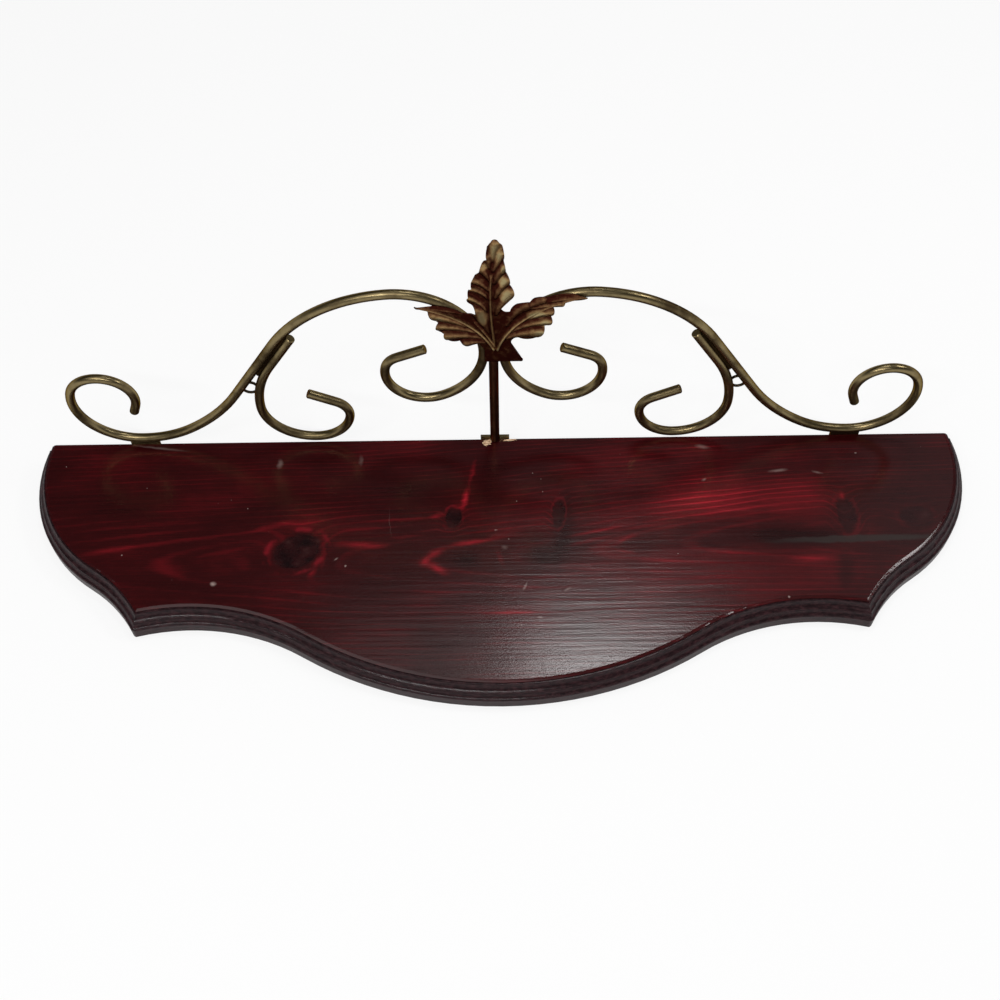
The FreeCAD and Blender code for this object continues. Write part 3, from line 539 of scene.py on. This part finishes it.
def stained_pine(look):
    """Flat-sawn knotty pine under a dark cherry stain and a thin gloss lacquer.

    The soft early wood drinks the stain and goes nearly black-red, the hard late wood stays as
    thin brighter lines, and knots are almost black. The lacquer is brushed on along the grain,
    so its gloss breaks into fine streaks.
    """
    material, tree, output = new_material("cherry_stained_pine")
    place = place_in_mm(tree)
    height = add_node(tree, "ShaderNodeSeparateXYZ", [place]).outputs["Z"]

    # Every mark is drawn on slightly crumpled coordinates, so that none has a drawn outline.
    crumple = add_node(
        tree, "ShaderNodeTexNoise",
        {"Vector": place, "Scale": 0.09, "Detail": 4.0, "Roughness": 0.6},
    ).outputs["Color"]
    crumple = add_node(
        tree, "ShaderNodeVectorMath", [crumple, (0.5, 0.5, 0.5)], operation="SUBTRACT"
    )
    crumpled = add_node(
        tree, "ShaderNodeVectorMath", [crumple, MARK_STRAY, place], operation="MULTIPLY_ADD"
    )

    rings = growth_rings(tree, place, look.ring_spacing)
    in_ring = add_node(tree, "ShaderNodeMath", [rings, 0.5])
    ring_number = add_node(tree, "ShaderNodeMath", [in_ring], operation="FLOOR")
    in_ring = add_node(tree, "ShaderNodeMath", [in_ring], operation="FRACT")
    late_wood = set_stops(add_node(tree, "ShaderNodeValToRGB", [in_ring]), LATE_WOOD_STOPS)
    late_wood = late_wood.outputs["Alpha"]
    along = add_node(tree, "ShaderNodeSeparateXYZ", [place]).outputs["X"]
    ring_spot = add_node(tree, "ShaderNodeCombineXYZ", {"X": ring_number, "Y": along})
    ring_share = stretched_noise(tree, ring_spot, (1.7, 0.012, 1.0), 2.0)
    ring_share = add_node(
        tree, "ShaderNodeMapRange",
        {"Value": ring_share, "From Min": 0.35, "From Max": 0.7, "To Min": 0.1, "To Max": 1.0},
    )
    late_wood = add_node(tree, "ShaderNodeMath", [late_wood, ring_share], operation="MULTIPLY")

    # Fibres are some 50 mm long and 1 mm wide, pores 6 and 0.3 mm, blotches of stain 60 and 30 mm.
    fibres = stretched_noise(tree, place, (0.02, 1.1, 1.1), 5.0, 0.62)
    pores = stretched_noise(tree, place, (0.16, 3.0, 3.0), 2.0)
    blotches = stretched_noise(tree, place, (0.016, 0.03, 0.02), 4.0, 0.6)

    # Redness grows from the blotches and patches, the lines of late wood and the bright streaks,
    # and fibres and pores break it up.
    ground = add_node(tree, "ShaderNodeMath", [blotches, 0.55, -0.055], operation="MULTIPLY_ADD")
    ground = add_marks(tree, crumpled, STAIN_PATCHES, ground)
    ground = add_node(tree, "ShaderNodeMath", [ground, 0.03], operation="MAXIMUM")
    lines = add_node(tree, "ShaderNodeMath", [ground, 0.75, 0.05], operation="MULTIPLY_ADD")
    redness = add_node(
        tree, "ShaderNodeMath", [late_wood, lines, ground], operation="MULTIPLY_ADD"
    )
    redness = add_marks(tree, crumpled, BRIGHT_STREAKS, redness)
    fibres = add_node(tree, "ShaderNodeMath", [fibres, 0.36, -0.18], operation="MULTIPLY_ADD")
    redness = add_node(tree, "ShaderNodeMath", [redness, fibres])
    pores = add_node(tree, "ShaderNodeMath", [pores, 0.22, -0.11], operation="MULTIPLY_ADD")
    redness = add_node(tree, "ShaderNodeMath", [redness, pores], use_clamp=True)
    top_colour = set_stops(
        add_node(tree, "ShaderNodeValToRGB", [redness]),
        [(0.0, linear(look.stain_dark)), (0.25, linear("#310406")), (0.5, linear("#4f060c")),
         (0.75, linear(look.stain_red)), (1.0, linear("#a01a26"))],
    )

    # A knot has a nearly black heart with paler grain, and a red halo where the rings close
    # round it. Where two meet, the stronger one shows.
    hearts = None
    halo = None
    for knot in KNOTS:
        *_, strength = knot
        glow = mark_glow(tree, crumpled, knot, KNOT_HALO_REACH)
        heart = ease(tree, glow, 0.3, 0.45)
        heart = add_node(tree, "ShaderNodeMath", [heart, strength], operation="MULTIPLY")
        if hearts is not None:
            heart = add_node(tree, "ShaderNodeMath", [hearts, heart], operation="MAXIMUM")
        hearts = heart
        ring = add_node(tree, "ShaderNodeMath", [glow, 0.2], operation="SUBTRACT")
        ring = add_node(tree, "ShaderNodeMath", [ring], operation="ABSOLUTE")
        ring = ease(tree, ring, 0.15, 0.0)
        ring = add_node(tree, "ShaderNodeMath", [ring, 0.6 * strength ** 4], operation="MULTIPLY")
        if halo is not None:
            ring = add_node(tree, "ShaderNodeMath", [halo, ring], operation="MAXIMUM")
        halo = ring
    halo_share = stretched_noise(tree, place, (0.09, 0.09, 0.09), 2.0)
    halo_share = ease(tree, halo_share, 0.4, 0.62)
    halo = add_node(tree, "ShaderNodeMath", [halo, halo_share], operation="MULTIPLY")
    top_colour = add_node(
        tree, "ShaderNodeMix", {0: halo, 6: top_colour, 7: linear("#7c0f1c")}, data_type="RGBA"
    ).outputs[2]
    knot_grain = stretched_noise(tree, place, (0.1, 0.14, 0.14), 3.0, 0.5)
    knot_colour = set_stops(
        add_node(tree, "ShaderNodeValToRGB", [knot_grain]),
        [(0.35, linear("#120204")), (0.6, linear("#260709")), (0.8, linear("#38201f"))],
    )
    top_colour = add_node(
        tree, "ShaderNodeMix", {0: hearts, 6: top_colour, 7: knot_colour}, data_type="RGBA"
    ).outputs[2]

    resin = ease(tree, mark_glow(tree, crumpled, STREAK), 0.08, 0.55)
    resin = add_node(tree, "ShaderNodeMath", [resin, 0.8], operation="MULTIPLY")
    top_colour = add_node(
        tree, "ShaderNodeMix", {0: resin, 6: top_colour, 7: linear("#2e2624")}, data_type="RGBA"
    ).outputs[2]

    # Rubs and chips in the lacquer, and specks of dust about every 12 mm.
    pale = add_marks(tree, crumpled, PALE_RUBS, 0.0)
    dust = add_node(
        tree, "ShaderNodeTexVoronoi", {"Vector": place, "Scale": 0.085, "Randomness": 1.0}
    )
    dust = ease(tree, dust, 0.034, 0.012)
    dust_share = stretched_noise(tree, place, (0.03, 0.03, 0.03), 1.0)
    dust_share = ease(tree, dust_share, 0.45, 0.6)
    dust = add_node(
        tree, "ShaderNodeMath", [dust, dust_share, pale], operation="MULTIPLY_ADD", use_clamp=True
    )
    top_colour = add_node(
        tree, "ShaderNodeMix", {0: dust, 6: top_colour, 7: linear("#a08c86")}, data_type="RGBA"
    ).outputs[2]

    # Below the quirk the moulding is nearly black, with the stain rubbed thin on its ribs.
    worn = stretched_noise(tree, place, (0.25, 0.25, 0.9), 5.0, 0.7)
    edge_colour = set_stops(
        add_node(tree, "ShaderNodeValToRGB", [worn]),
        [(0.42, linear(look.moulding)), (0.75, linear("#40272a"))],
    )
    on_top = ease(tree, height, *(TOP_Z / MM - depth for depth in MOULDING_START))
    colour = add_node(
        tree, "ShaderNodeMix", {0: on_top, 6: edge_colour, 7: top_colour}, data_type="RGBA"
    ).outputs[2]

    # Brush lines are some 70 mm long and 3 mm apart, and grit is 1 to 2 mm. The gloss is thin on
    # the moulding.
    brushed = stretched_noise(tree, place, (0.014, 0.35, 0.35), 3.0, 0.5)
    grit = stretched_noise(tree, place, (0.6, 1.2, 1.2), 1.0)
    brushed = add_node(tree, "ShaderNodeMath", [grit, 0.3, brushed], operation="MULTIPLY_ADD")
    bump = add_node(
        tree, "ShaderNodeBump",
        {"Height": brushed, "Strength": 1.0, "Distance": LACQUER_RELIEF * MM},
    )
    lacquer = add_node(tree, "ShaderNodeMath", [on_top, 0.65, 0.2], operation="MULTIPLY_ADD")
    surface = add_node(
        tree, "ShaderNodeBsdfPrincipled",
        {"Base Color": colour, "Roughness": 0.45, "Normal": bump, "IOR": 1.5,
         "Specular IOR Level": 0.06, "Coat Weight": lacquer, "Coat Roughness": 0.18,
         "Coat IOR": 1.5, "Coat Normal": bump},
    )
    tree.links.new(surface.outputs[0], output.inputs["Surface"])
    return material


def aged_brass(name, base, dark, patina_amount, roughness):
    """Brass-plated steel that has gone olive-brown in the hand.

    The plating is satin, with a long soft highlight along each rod and a dark grazing edge.
    Where the lacquer has gone, it has brown clouds of some 20 mm and dark specks of 1 mm.
    """
    material, tree, output = new_material(name)
    place = place_in_mm(tree)
    clouds = stretched_noise(tree, place, (0.045, 0.045, 0.045), 5.0, 0.6)
    clouds = set_stops(
        add_node(tree, "ShaderNodeValToRGB", [clouds]),
        [(0.62 - patina_amount * 0.4, 0.0), (0.8 - patina_amount * 0.3, 1.0)],
    ).outputs["Alpha"]
    specks = stretched_noise(tree, place, (0.9, 0.9, 0.9), 3.0, 0.7)
    specks = ease(tree, specks, 0.62, 0.78)
    specks = add_node(tree, "ShaderNodeMath", [specks, 0.4], operation="MULTIPLY")
    aged = add_node(tree, "ShaderNodeMath", [clouds, 0.75], operation="MULTIPLY")
    aged = add_node(tree, "ShaderNodeMath", [aged, specks], operation="MAXIMUM")
    colour = add_node(
        tree, "ShaderNodeMix", {0: aged, 6: linear(base), 7: linear(dark)}, data_type="RGBA"
    ).outputs[2]
    rough = add_node(tree, "ShaderNodeMath", [aged, 0.25, roughness], operation="MULTIPLY_ADD")
    surface = add_node(
        tree, "ShaderNodeBsdfPrincipled",
        {"Base Color": colour, "Metallic": 1.0, "Roughness": rough,
         "Specular Tint": linear("#6a5534")},
    )
    tree.links.new(surface.outputs[0], output.inputs["Surface"])
    return material


def leaf_bronze():
    """Pressed steel leaf, brass-plated and then darkened.

    Its grooves keep a dark red-brown patina, the crests of the lobes are rubbed to a dull
    brass, and the listed patches are paler brass: partly worn and partly painted highlight where
    they face the light, most of all at the tip of the centre leaf. The patina is mottled every 3
    mm.
    """
    material, tree, output = new_material("darkened_bronze_leaf")
    place = place_in_mm(tree)
    relief = add_node(tree, "ShaderNodeAttribute", attribute_name="relief").outputs["Fac"]
    # The rubbed attribute is worn brass and painted highlight together, on the listed patches.
    rubbed = add_node(tree, "ShaderNodeAttribute", attribute_name="rubbed").outputs["Fac"]
    mottle = add_node(
        tree, "ShaderNodeTexNoise",
        {"Vector": place, "Scale": 0.32, "Detail": 6.0, "Roughness": 0.65},
    )
    mottle_shift = add_node(tree, "ShaderNodeMath", [mottle, 0.5], operation="SUBTRACT")
    wear = add_node(tree, "ShaderNodeMath", [rubbed, 0.7, relief], operation="MULTIPLY_ADD")
    wear = add_node(
        tree, "ShaderNodeMath", [mottle_shift, 1.1, wear], operation="MULTIPLY_ADD", use_clamp=True
    )
    colour = set_stops(
        add_node(tree, "ShaderNodeValToRGB", [wear]),
        [(0.0, linear("#3b1710")), (0.3, linear("#6c4b32")), (0.62, linear("#997b53")),
         (1.0, linear("#a09068"))],
    )
    rough = add_node(tree, "ShaderNodeMath", [wear, -0.12, 0.42], operation="MULTIPLY_ADD")
    bump = add_node(
        tree, "ShaderNodeBump", {"Height": mottle, "Strength": 0.2, "Distance": 0.4 * MM}
    )
    surface = add_node(
        tree, "ShaderNodeBsdfPrincipled",
        {"Base Color": colour, "Metallic": 0.9, "Roughness": rough, "Normal": bump,
         "Specular Tint": linear("#5a4030")},
    )
    tree.links.new(surface.outputs[0], output.inputs["Surface"])
    return material


def raw_wood():
    """Bare broken pine, split round the foot of the post: pale, with fibres 0.5 mm wide."""
    material, tree, output = new_material("raw_pine_splinters")
    fibres = stretched_noise(tree, place_in_mm(tree), (0.3, 2.0, 2.0), 3.0)
    colour = set_stops(
        add_node(tree, "ShaderNodeValToRGB", [fibres]),
        [(0.35, linear("#8a5a3c")), (0.6, linear("#e6c7a2"))],
    )
    bump = add_node(
        tree, "ShaderNodeBump", {"Height": fibres, "Strength": 0.5, "Distance": 0.3 * MM}
    )
    surface = add_node(
        tree, "ShaderNodeBsdfPrincipled", {"Base Color": colour, "Roughness": 0.8, "Normal": bump}
    )
    tree.links.new(surface.outputs[0], output.inputs["Surface"])
    return material


# ---- leaf ornament ------------------------------------------------------------------------------

def arc_points(start, via, end, step):
    """Points along the circle through three points, without the first."""
    a, b, c = (complex(*point) for point in (start, via, end))
    ratio = (c - a) / (b - a)
    centre = a + (b - a) * (ratio - abs(ratio) ** 2) / (ratio - ratio.conjugate())
    first = a - centre
    turn, middle = (cmath.phase((point - centre) / first) for point in (c, b))
    if turn * middle < 0 or abs(middle) > abs(turn):
        turn -= math.copysign(2 * math.pi, turn)
    count = max(2, round(abs(turn) * abs(first) / step))
    angles = [turn * index / count for index in range(1, count + 1)]
    spots = [centre + first * complex(math.cos(angle), math.sin(angle)) for angle in angles]
    return [(spot.real, spot.imag) for spot in spots]


def leaf_outline():
    """The outline of the leaf as points, in mm from the root of the veins."""
    points = [OUTLINE_START]
    for stroke in OUTLINE_STROKES:
        if len(stroke) == 1:
            points.append(stroke[0])
        else:
            points.extend(arc_points(points[-1], stroke[0], stroke[1], CELL))
    return points[:-1]


def leaf_sheet():
    """The flat leaf, cut into small cells that keep its outline."""
    bm = bmesh.new()
    bm.faces.new([bm.verts.new((x, 0.0, z)) for x, z in leaf_outline()])
    for normal in (Vector((1, 0, 0)), Vector((0, 0, 1))):
        reach = [v.co.dot(normal) for v in bm.verts]
        low, high = min(reach), max(reach)
        for index in range(1, int((high - low) / CELL)):
            geometry = bm.verts[:] + bm.edges[:] + bm.faces[:]
            cut = normal * (low + index * CELL)
            bmesh.ops.bisect_plane(
                bm, geom=geometry, dist=CUT_TOLERANCE, plane_co=cut, plane_no=normal
            )
    bmesh.ops.dissolve_degenerate(bm, dist=SLIVER, edges=bm.edges[:])
    return bm


def crest_distance(spots, crest):
    """How far each spot lies from a curved crest, and how far along it (0 to 1)."""
    start, bend, end = (np.array(point) for point in crest)
    along = np.linspace(0.0, 1.0, CREST_POINTS)[:, None]
    line = (1 - along) ** 2 * start + 2 * along * (1 - along) * bend + along ** 2 * end
    best = np.full(len(spots), np.inf)
    place = np.zeros(len(spots))
    for index in range(len(line) - 1):
        a, step = line[index], line[index + 1] - line[index]
        share = np.clip(((spots - a) @ step) / (step @ step), 0.0, 1.0)
        distance = np.linalg.norm(spots - a - share[:, None] * step, axis=1)
        nearer = distance < best
        best = np.where(nearer, distance, best)
        place = np.where(nearer, (index + share) / (len(line) - 1), place)
    return best, place


def leaf_height(spots):
    """Height of the pressed leaf over its sheet, in mm."""
    height = np.zeros(len(spots))
    for *crest, root_width, tip_width, rise in LOBES:
        distance, along = crest_distance(spots, crest)
        width = root_width + (tip_width - root_width) * along
        crown = rise * (LOBE_RISE[0] + LOBE_RISE[1] * np.sqrt(along))
        lobe = crown * np.clip(1 - (distance / width) ** 2 * LOBE_ROUNDNESS, 0, None)
        height = np.maximum(height, lobe)
    for *crest, root_width, tip_width, rise in MIDRIBS:
        distance, along = crest_distance(spots, crest)
        width = root_width + (tip_width - root_width) * along
        rounded = np.sqrt(np.clip(1 - (distance / width) ** 2, 0, None))
        rib = rise * (1 - RIB_FALL * along) * rounded
        off_groove = (distance - width * GROOVE_OFFSET) / GROOVE_WIDTH
        groove = GROOVE_DEPTH * np.exp(-off_groove ** 2) * (1 - along)
        height = np.maximum(height - groove, rib)
    return np.clip(height, 0, None)


def sculpted_leaf(relief):
    """The leaf with its lobes, grooves and midribs pressed forward, and its wear and painted
    highlight as attributes.
    """
    bm = leaf_sheet()
    spots = np.array([(v.co.x, v.co.z) for v in bm.verts])
    heights = relief * leaf_height(spots)
    relief_layer = bm.verts.layers.float.new("relief")
    rubbed_and_highlight_layer = bm.verts.layers.float.new("rubbed")
    for vertex, height in zip(bm.verts, heights):
        vertex[relief_layer] = min(1.0, max(0.0, (height - RUB_START) / RUB_SPAN))
        # The listed patches are worn brass and also painted highlight where lobes face the light.
        nearness = [
            1 - math.hypot((vertex.co.x - x) / wide, (vertex.co.z - z) / tall)
            for x, z, wide, tall in RUBBED_AND_HIGHLIGHT_PATCHES
        ]
        vertex[rubbed_and_highlight_layer] = min(1.0, max(0.0, RUB_GAIN * max(nearness)))
        vertex.co.y = -SHEET - height
    bmesh.ops.scale(bm, vec=(MM, MM, MM), verts=bm.verts[:])
    bmesh.ops.translate(bm, vec=LEAF_ROOT, verts=bm.verts[:])
    bmesh.ops.recalc_face_normals(bm, faces=bm.faces[:])
    if sum(face.normal.y * face.calc_area() for face in bm.faces) > 0:
        bmesh.ops.reverse_faces(bm, faces=bm.faces[:])
    for face in bm.faces:
        face.smooth = True
    return bm


# ---- operators ----------------------------------------------------------------------------------

class RACK_OT_board(bpy.types.Operator):
    """Stains and lacquers the moulded shelf board"""
    bl_idname = "rack.board"
    bl_label = "Shelf board"

    def execute(self, context):
        dress(["shelf_board"], stained_pine(context.scene.rack_finishes))
        return {"FINISHED"}


class RACK_OT_rail(bpy.types.Operator):
    """Gives the scrolls, tabs and rings their aged brass, and post and welds their dark patina"""
    bl_idname = "rack.rail"
    bl_label = "Brass rail"

    def execute(self, context):
        look = context.scene.rack_finishes
        # How the nodes' names end, then the metal, its colours, its share of patina and roughness.
        finishes = (
            (("_scroll", "_tab"), "antique_brass_rod", look.brass, look.patina, 0.4, 0.3),
            ("_ring", "dark_wire_ring", "#3c3226", look.patina, 0.5, 0.35),
            ("_post", "red_brown_post", "#6e4a38", "#34190f", 0.45, 0.3),
            ("_welds", "dark_brazing", "#4a3a22", "#1d120a", 0.6, 0.45),
            ("_screws", "yellowed_zinc_screws", "#8d8468", "#4a3c26", 0.3, 0.35),
        )
        for endings, *metal in finishes:
            names = [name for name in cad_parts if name.endswith(endings)]
            dress(names, aged_brass(*metal))
        return {"FINISHED"}


class RACK_OT_brazing(bpy.types.Operator):
    """Runs dark brazing into the crevices where the scrolls lie side by side"""
    bl_idname = "rack.brazing"
    bl_label = "Brazed laps"

    def execute(self, context):
        bm = bmesh.new()
        for side in (1, -1):
            low, high = (Vector((RAIL_MIDDLE + side * x, 0, z)) for x, z in LAP_CREVICE)
            rise = high - low
            upright = rise.to_track_quat("Z", "Y").to_matrix()
            rim = bmesh.ops.create_circle(bm, cap_ends=True, segments=16, radius=0.5)["verts"]
            bmesh.ops.scale(bm, vec=(LAP_FILL_DEPTH, LAP_FILL_LOW, 1), verts=rim)
            bmesh.ops.rotate(bm, matrix=upright, verts=rim)
            bmesh.ops.translate(bm, vec=low + Vector((0, BACK_Y / MM, 0)), verts=rim)
            grown = bmesh.ops.extrude_face_region(bm, geom=[rim[0].link_faces[0]])["geom"]
            top = [part for part in grown if isinstance(part, bmesh.types.BMVert)]
            bmesh.ops.translate(bm, vec=rise, verts=top)
            middle = sum((v.co for v in top), Vector()) / len(top)
            taper = (LAP_FILL_HIGH / LAP_FILL_LOW,) * 3
            bmesh.ops.scale(bm, vec=taper, space=Matrix.Translation(-middle), verts=top)
        bmesh.ops.recalc_face_normals(bm, faces=bm.faces[:])
        bmesh.ops.scale(bm, vec=(MM, MM, MM), verts=bm.verts[:])
        metal = aged_brass("dark_lap_brazing", "#3a2c1b", "#160d07", 0.6, 0.4)
        new_piece("brazed_laps", bm, metal)
        return {"FINISHED"}


class RACK_OT_leaf(bpy.types.Operator):
    """Presses the three-lobed leaf ornament out of thin sheet"""
    bl_idname = "rack.leaf"
    bl_label = "Leaf ornament"

    def execute(self, context):
        relief = context.scene.rack_finishes.leaf_relief
        leaf = new_piece(
            "pressed_leaf", sculpted_leaf(relief), leaf_bronze(),
            replaced=["leaf_ornament"],
        )
        sheet = leaf.modifiers.new("sheet thickness", "SOLIDIFY")
        sheet.thickness = SHEET * MM
        sheet.offset = -1.0
        return {"FINISHED"}


class RACK_OT_splinters(bpy.types.Operator):
    """Adds the split raw wood round the foot of the post"""
    bl_idname = "rack.splinters"
    bl_label = "Raw wood chips"

    def execute(self, context):
        bm = bmesh.new()
        for index, (x, y, length, width, thickness, turn) in enumerate(CHIPS):
            chip = bmesh.ops.create_icosphere(bm, subdivisions=3, radius=0.5)["verts"]
            shift = Vector((index * CHIP_SHIFT, 0, 0))
            for vertex in chip:
                vertex.co *= 1 + CHIP_WOBBLE * noise.noise(vertex.co * CHIP_LUMPS + shift)
            turned = Matrix.Rotation(math.radians(turn), 3, "Z")
            bmesh.ops.scale(bm, vec=(length, width, thickness), verts=chip)
            bmesh.ops.rotate(bm, matrix=turned, verts=chip)
            bmesh.ops.translate(bm, vec=(x, y, TOP_Z / MM), verts=chip)
        bmesh.ops.scale(bm, vec=(MM, MM, MM), verts=bm.verts[:])
        new_piece("raw_wood_chips", bm, raw_wood())
        return {"FINISHED"}


class RACK_OT_stage(bpy.types.Operator):
    """Sets the pale floor, the soft lamps, the white room and the camera"""
    bl_idname = "rack.stage"
    bl_label = "Stage"

    def execute(self, context):
        stage = context.scene.rack_stage
        add_floor(stage)
        for name, place, target, size, share in LAMPS:
            add_lamp(name, Vector(place), Vector(target), size, share * stage.key_power)
        add_lamp("fill_lamp", Vector(FILL_PLACE), Vector((0, 0, 0)), FILL_SIZE, stage.fill_power)
        light_room(stage)
        add_camera()
        context.scene.view_settings.view_transform = "Standard"
        return {"FINISHED"}


def seen_in_gloss(tree, path):
    """1 for rays that metal, gloss or glass sends out."""
    rays = [path.outputs["Is Glossy Ray"], path.outputs["Is Transmission Ray"]]
    return add_node(tree, "ShaderNodeMath", rays, operation="MAXIMUM")


def add_floor(stage):
    """A round pale floor that shows white and keeps a soft shadow."""
    bm = bmesh.new()
    bmesh.ops.create_circle(bm, cap_ends=True, segments=96, radius=stage.floor_radius)
    bmesh.ops.translate(bm, vec=(0, 0, BOARD_LOW.z - FLOOR_GAP), verts=bm.verts[:])
    material, tree, output = new_material("white_studio_floor")
    matt = add_node(tree, "ShaderNodeBsdfDiffuse", {"Color": (0.85, 0.85, 0.85, 1.0)})
    white = add_node(tree, "ShaderNodeEmission", {"Color": (1.0, 1.0, 1.0, 1.0), "Strength": 1.0})
    path = add_node(tree, "ShaderNodeLightPath")
    rays = [path.outputs["Is Camera Ray"], seen_in_gloss(tree, path)]
    seen = add_node(tree, "ShaderNodeMath", rays, operation="MAXIMUM")
    share = add_node(tree, "ShaderNodeMath", [seen, FLOOR_WHITE], operation="MULTIPLY")
    both = add_node(tree, "ShaderNodeMixShader", [share, matt, white])
    tree.links.new(both.outputs[0], output.inputs["Surface"])
    floor = mesh_object("pale_floor", bm, material)


def add_lamp(name, place, target, size, power):
    """A soft rectangular lamp that points at its target."""
    data = bpy.data.lights.new(name, "AREA")
    data.shape = "RECTANGLE"
    data.size, data.size_y = size
    data.energy = power
    lamp = bpy.data.objects.new(name, data)
    lamp.location = place
    lamp.rotation_euler = (target - place).to_track_quat("-Z", "Y").to_euler()
    bpy.context.scene.collection.objects.link(lamp)


def light_room(stage):
    """Even room light, with white walls and a dim ceiling for metal and gloss to show."""
    world = bpy.data.worlds.new("white_room")
    world.use_nodes = True
    tree = world.node_tree
    tree.nodes.clear()
    output = add_node(tree, "ShaderNodeOutputWorld")
    path = add_node(tree, "ShaderNodeLightPath")
    direction = add_node(tree, "ShaderNodeTexCoord").outputs["Generated"]
    height = add_node(tree, "ShaderNodeSeparateXYZ", [direction]).outputs["Z"]
    walls = add_node(
        tree, "ShaderNodeMapRange",
        {"Value": height, "From Min": WALL_TOP, "From Max": CEILING_EDGE,
         "To Min": 1.0, "To Max": CEILING_GLOW},
        interpolation_type="SMOOTHSTEP",
    )
    strength = add_node(
        tree, "ShaderNodeMix", {0: seen_in_gloss(tree, path), 2: stage.world_strength, 3: walls}
    )
    strength = add_node(
        tree, "ShaderNodeMath", [strength, path.outputs["Is Camera Ray"]], operation="MAXIMUM"
    )
    glow = add_node(
        tree, "ShaderNodeBackground", {"Color": (1.0, 1.0, 1.0, 1.0), "Strength": strength}
    )
    tree.links.new(glow.outputs[0], output.inputs["Surface"])
    bpy.context.scene.world = world


def add_camera():
    """The camera at the photograph's place and angle."""
    data = bpy.data.cameras.new("camera")
    data.lens = CAMERA_FOCAL
    data.sensor_width = SENSOR_WIDTH
    camera = bpy.data.objects.new("camera", data)
    tilt = Matrix.Rotation(math.radians(90 - CAMERA_PITCH), 4, "X")
    roll = Matrix.Rotation(math.radians(-CAMERA_ROLL), 4, "Z")
    camera.matrix_world = Matrix.Translation(Vector(CAMERA_PLACE) * MM) @ tilt @ roll
    bpy.context.scene.collection.objects.link(camera)
    bpy.context.scene.camera = camera


class RACK_PT_finishes(bpy.types.Panel):
    """Lists the pieces of the rack and their finishes"""
    bl_idname = "RACK_PT_finishes"
    bl_label = "Shelf rack"
    bl_space_type = "VIEW_3D"
    bl_region_type = "UI"
    bl_category = "Shelf Rack"

    def draw(self, context):
        for group in (context.scene.rack_finishes, context.scene.rack_stage):
            for name in group.__annotations__:
                self.layout.prop(group, name)
        for operator in OPERATORS:
            self.layout.operator(operator.bl_idname)


OPERATORS = (
    RACK_OT_board, RACK_OT_rail, RACK_OT_brazing, RACK_OT_leaf, RACK_OT_splinters, RACK_OT_stage,
)
CLASSES = (RackFinishes, StageSettings, *OPERATORS, RACK_PT_finishes)


def register():
    for item in CLASSES:
        bpy.utils.register_class(item)
    bpy.types.Scene.rack_finishes = PointerProperty(type=RackFinishes)
    bpy.types.Scene.rack_stage = PointerProperty(type=StageSettings)


def unregister():
    del bpy.types.Scene.rack_stage
    del bpy.types.Scene.rack_finishes
    for item in reversed(CLASSES):
        bpy.utils.unregister_class(item)


def main():
    register()
    bpy.ops.rack.board()
    bpy.ops.rack.rail()
    bpy.ops.rack.brazing()
    bpy.ops.rack.leaf()
    bpy.ops.rack.splinters()
    bpy.ops.rack.stage()


if __name__ == "__main__":
    main()
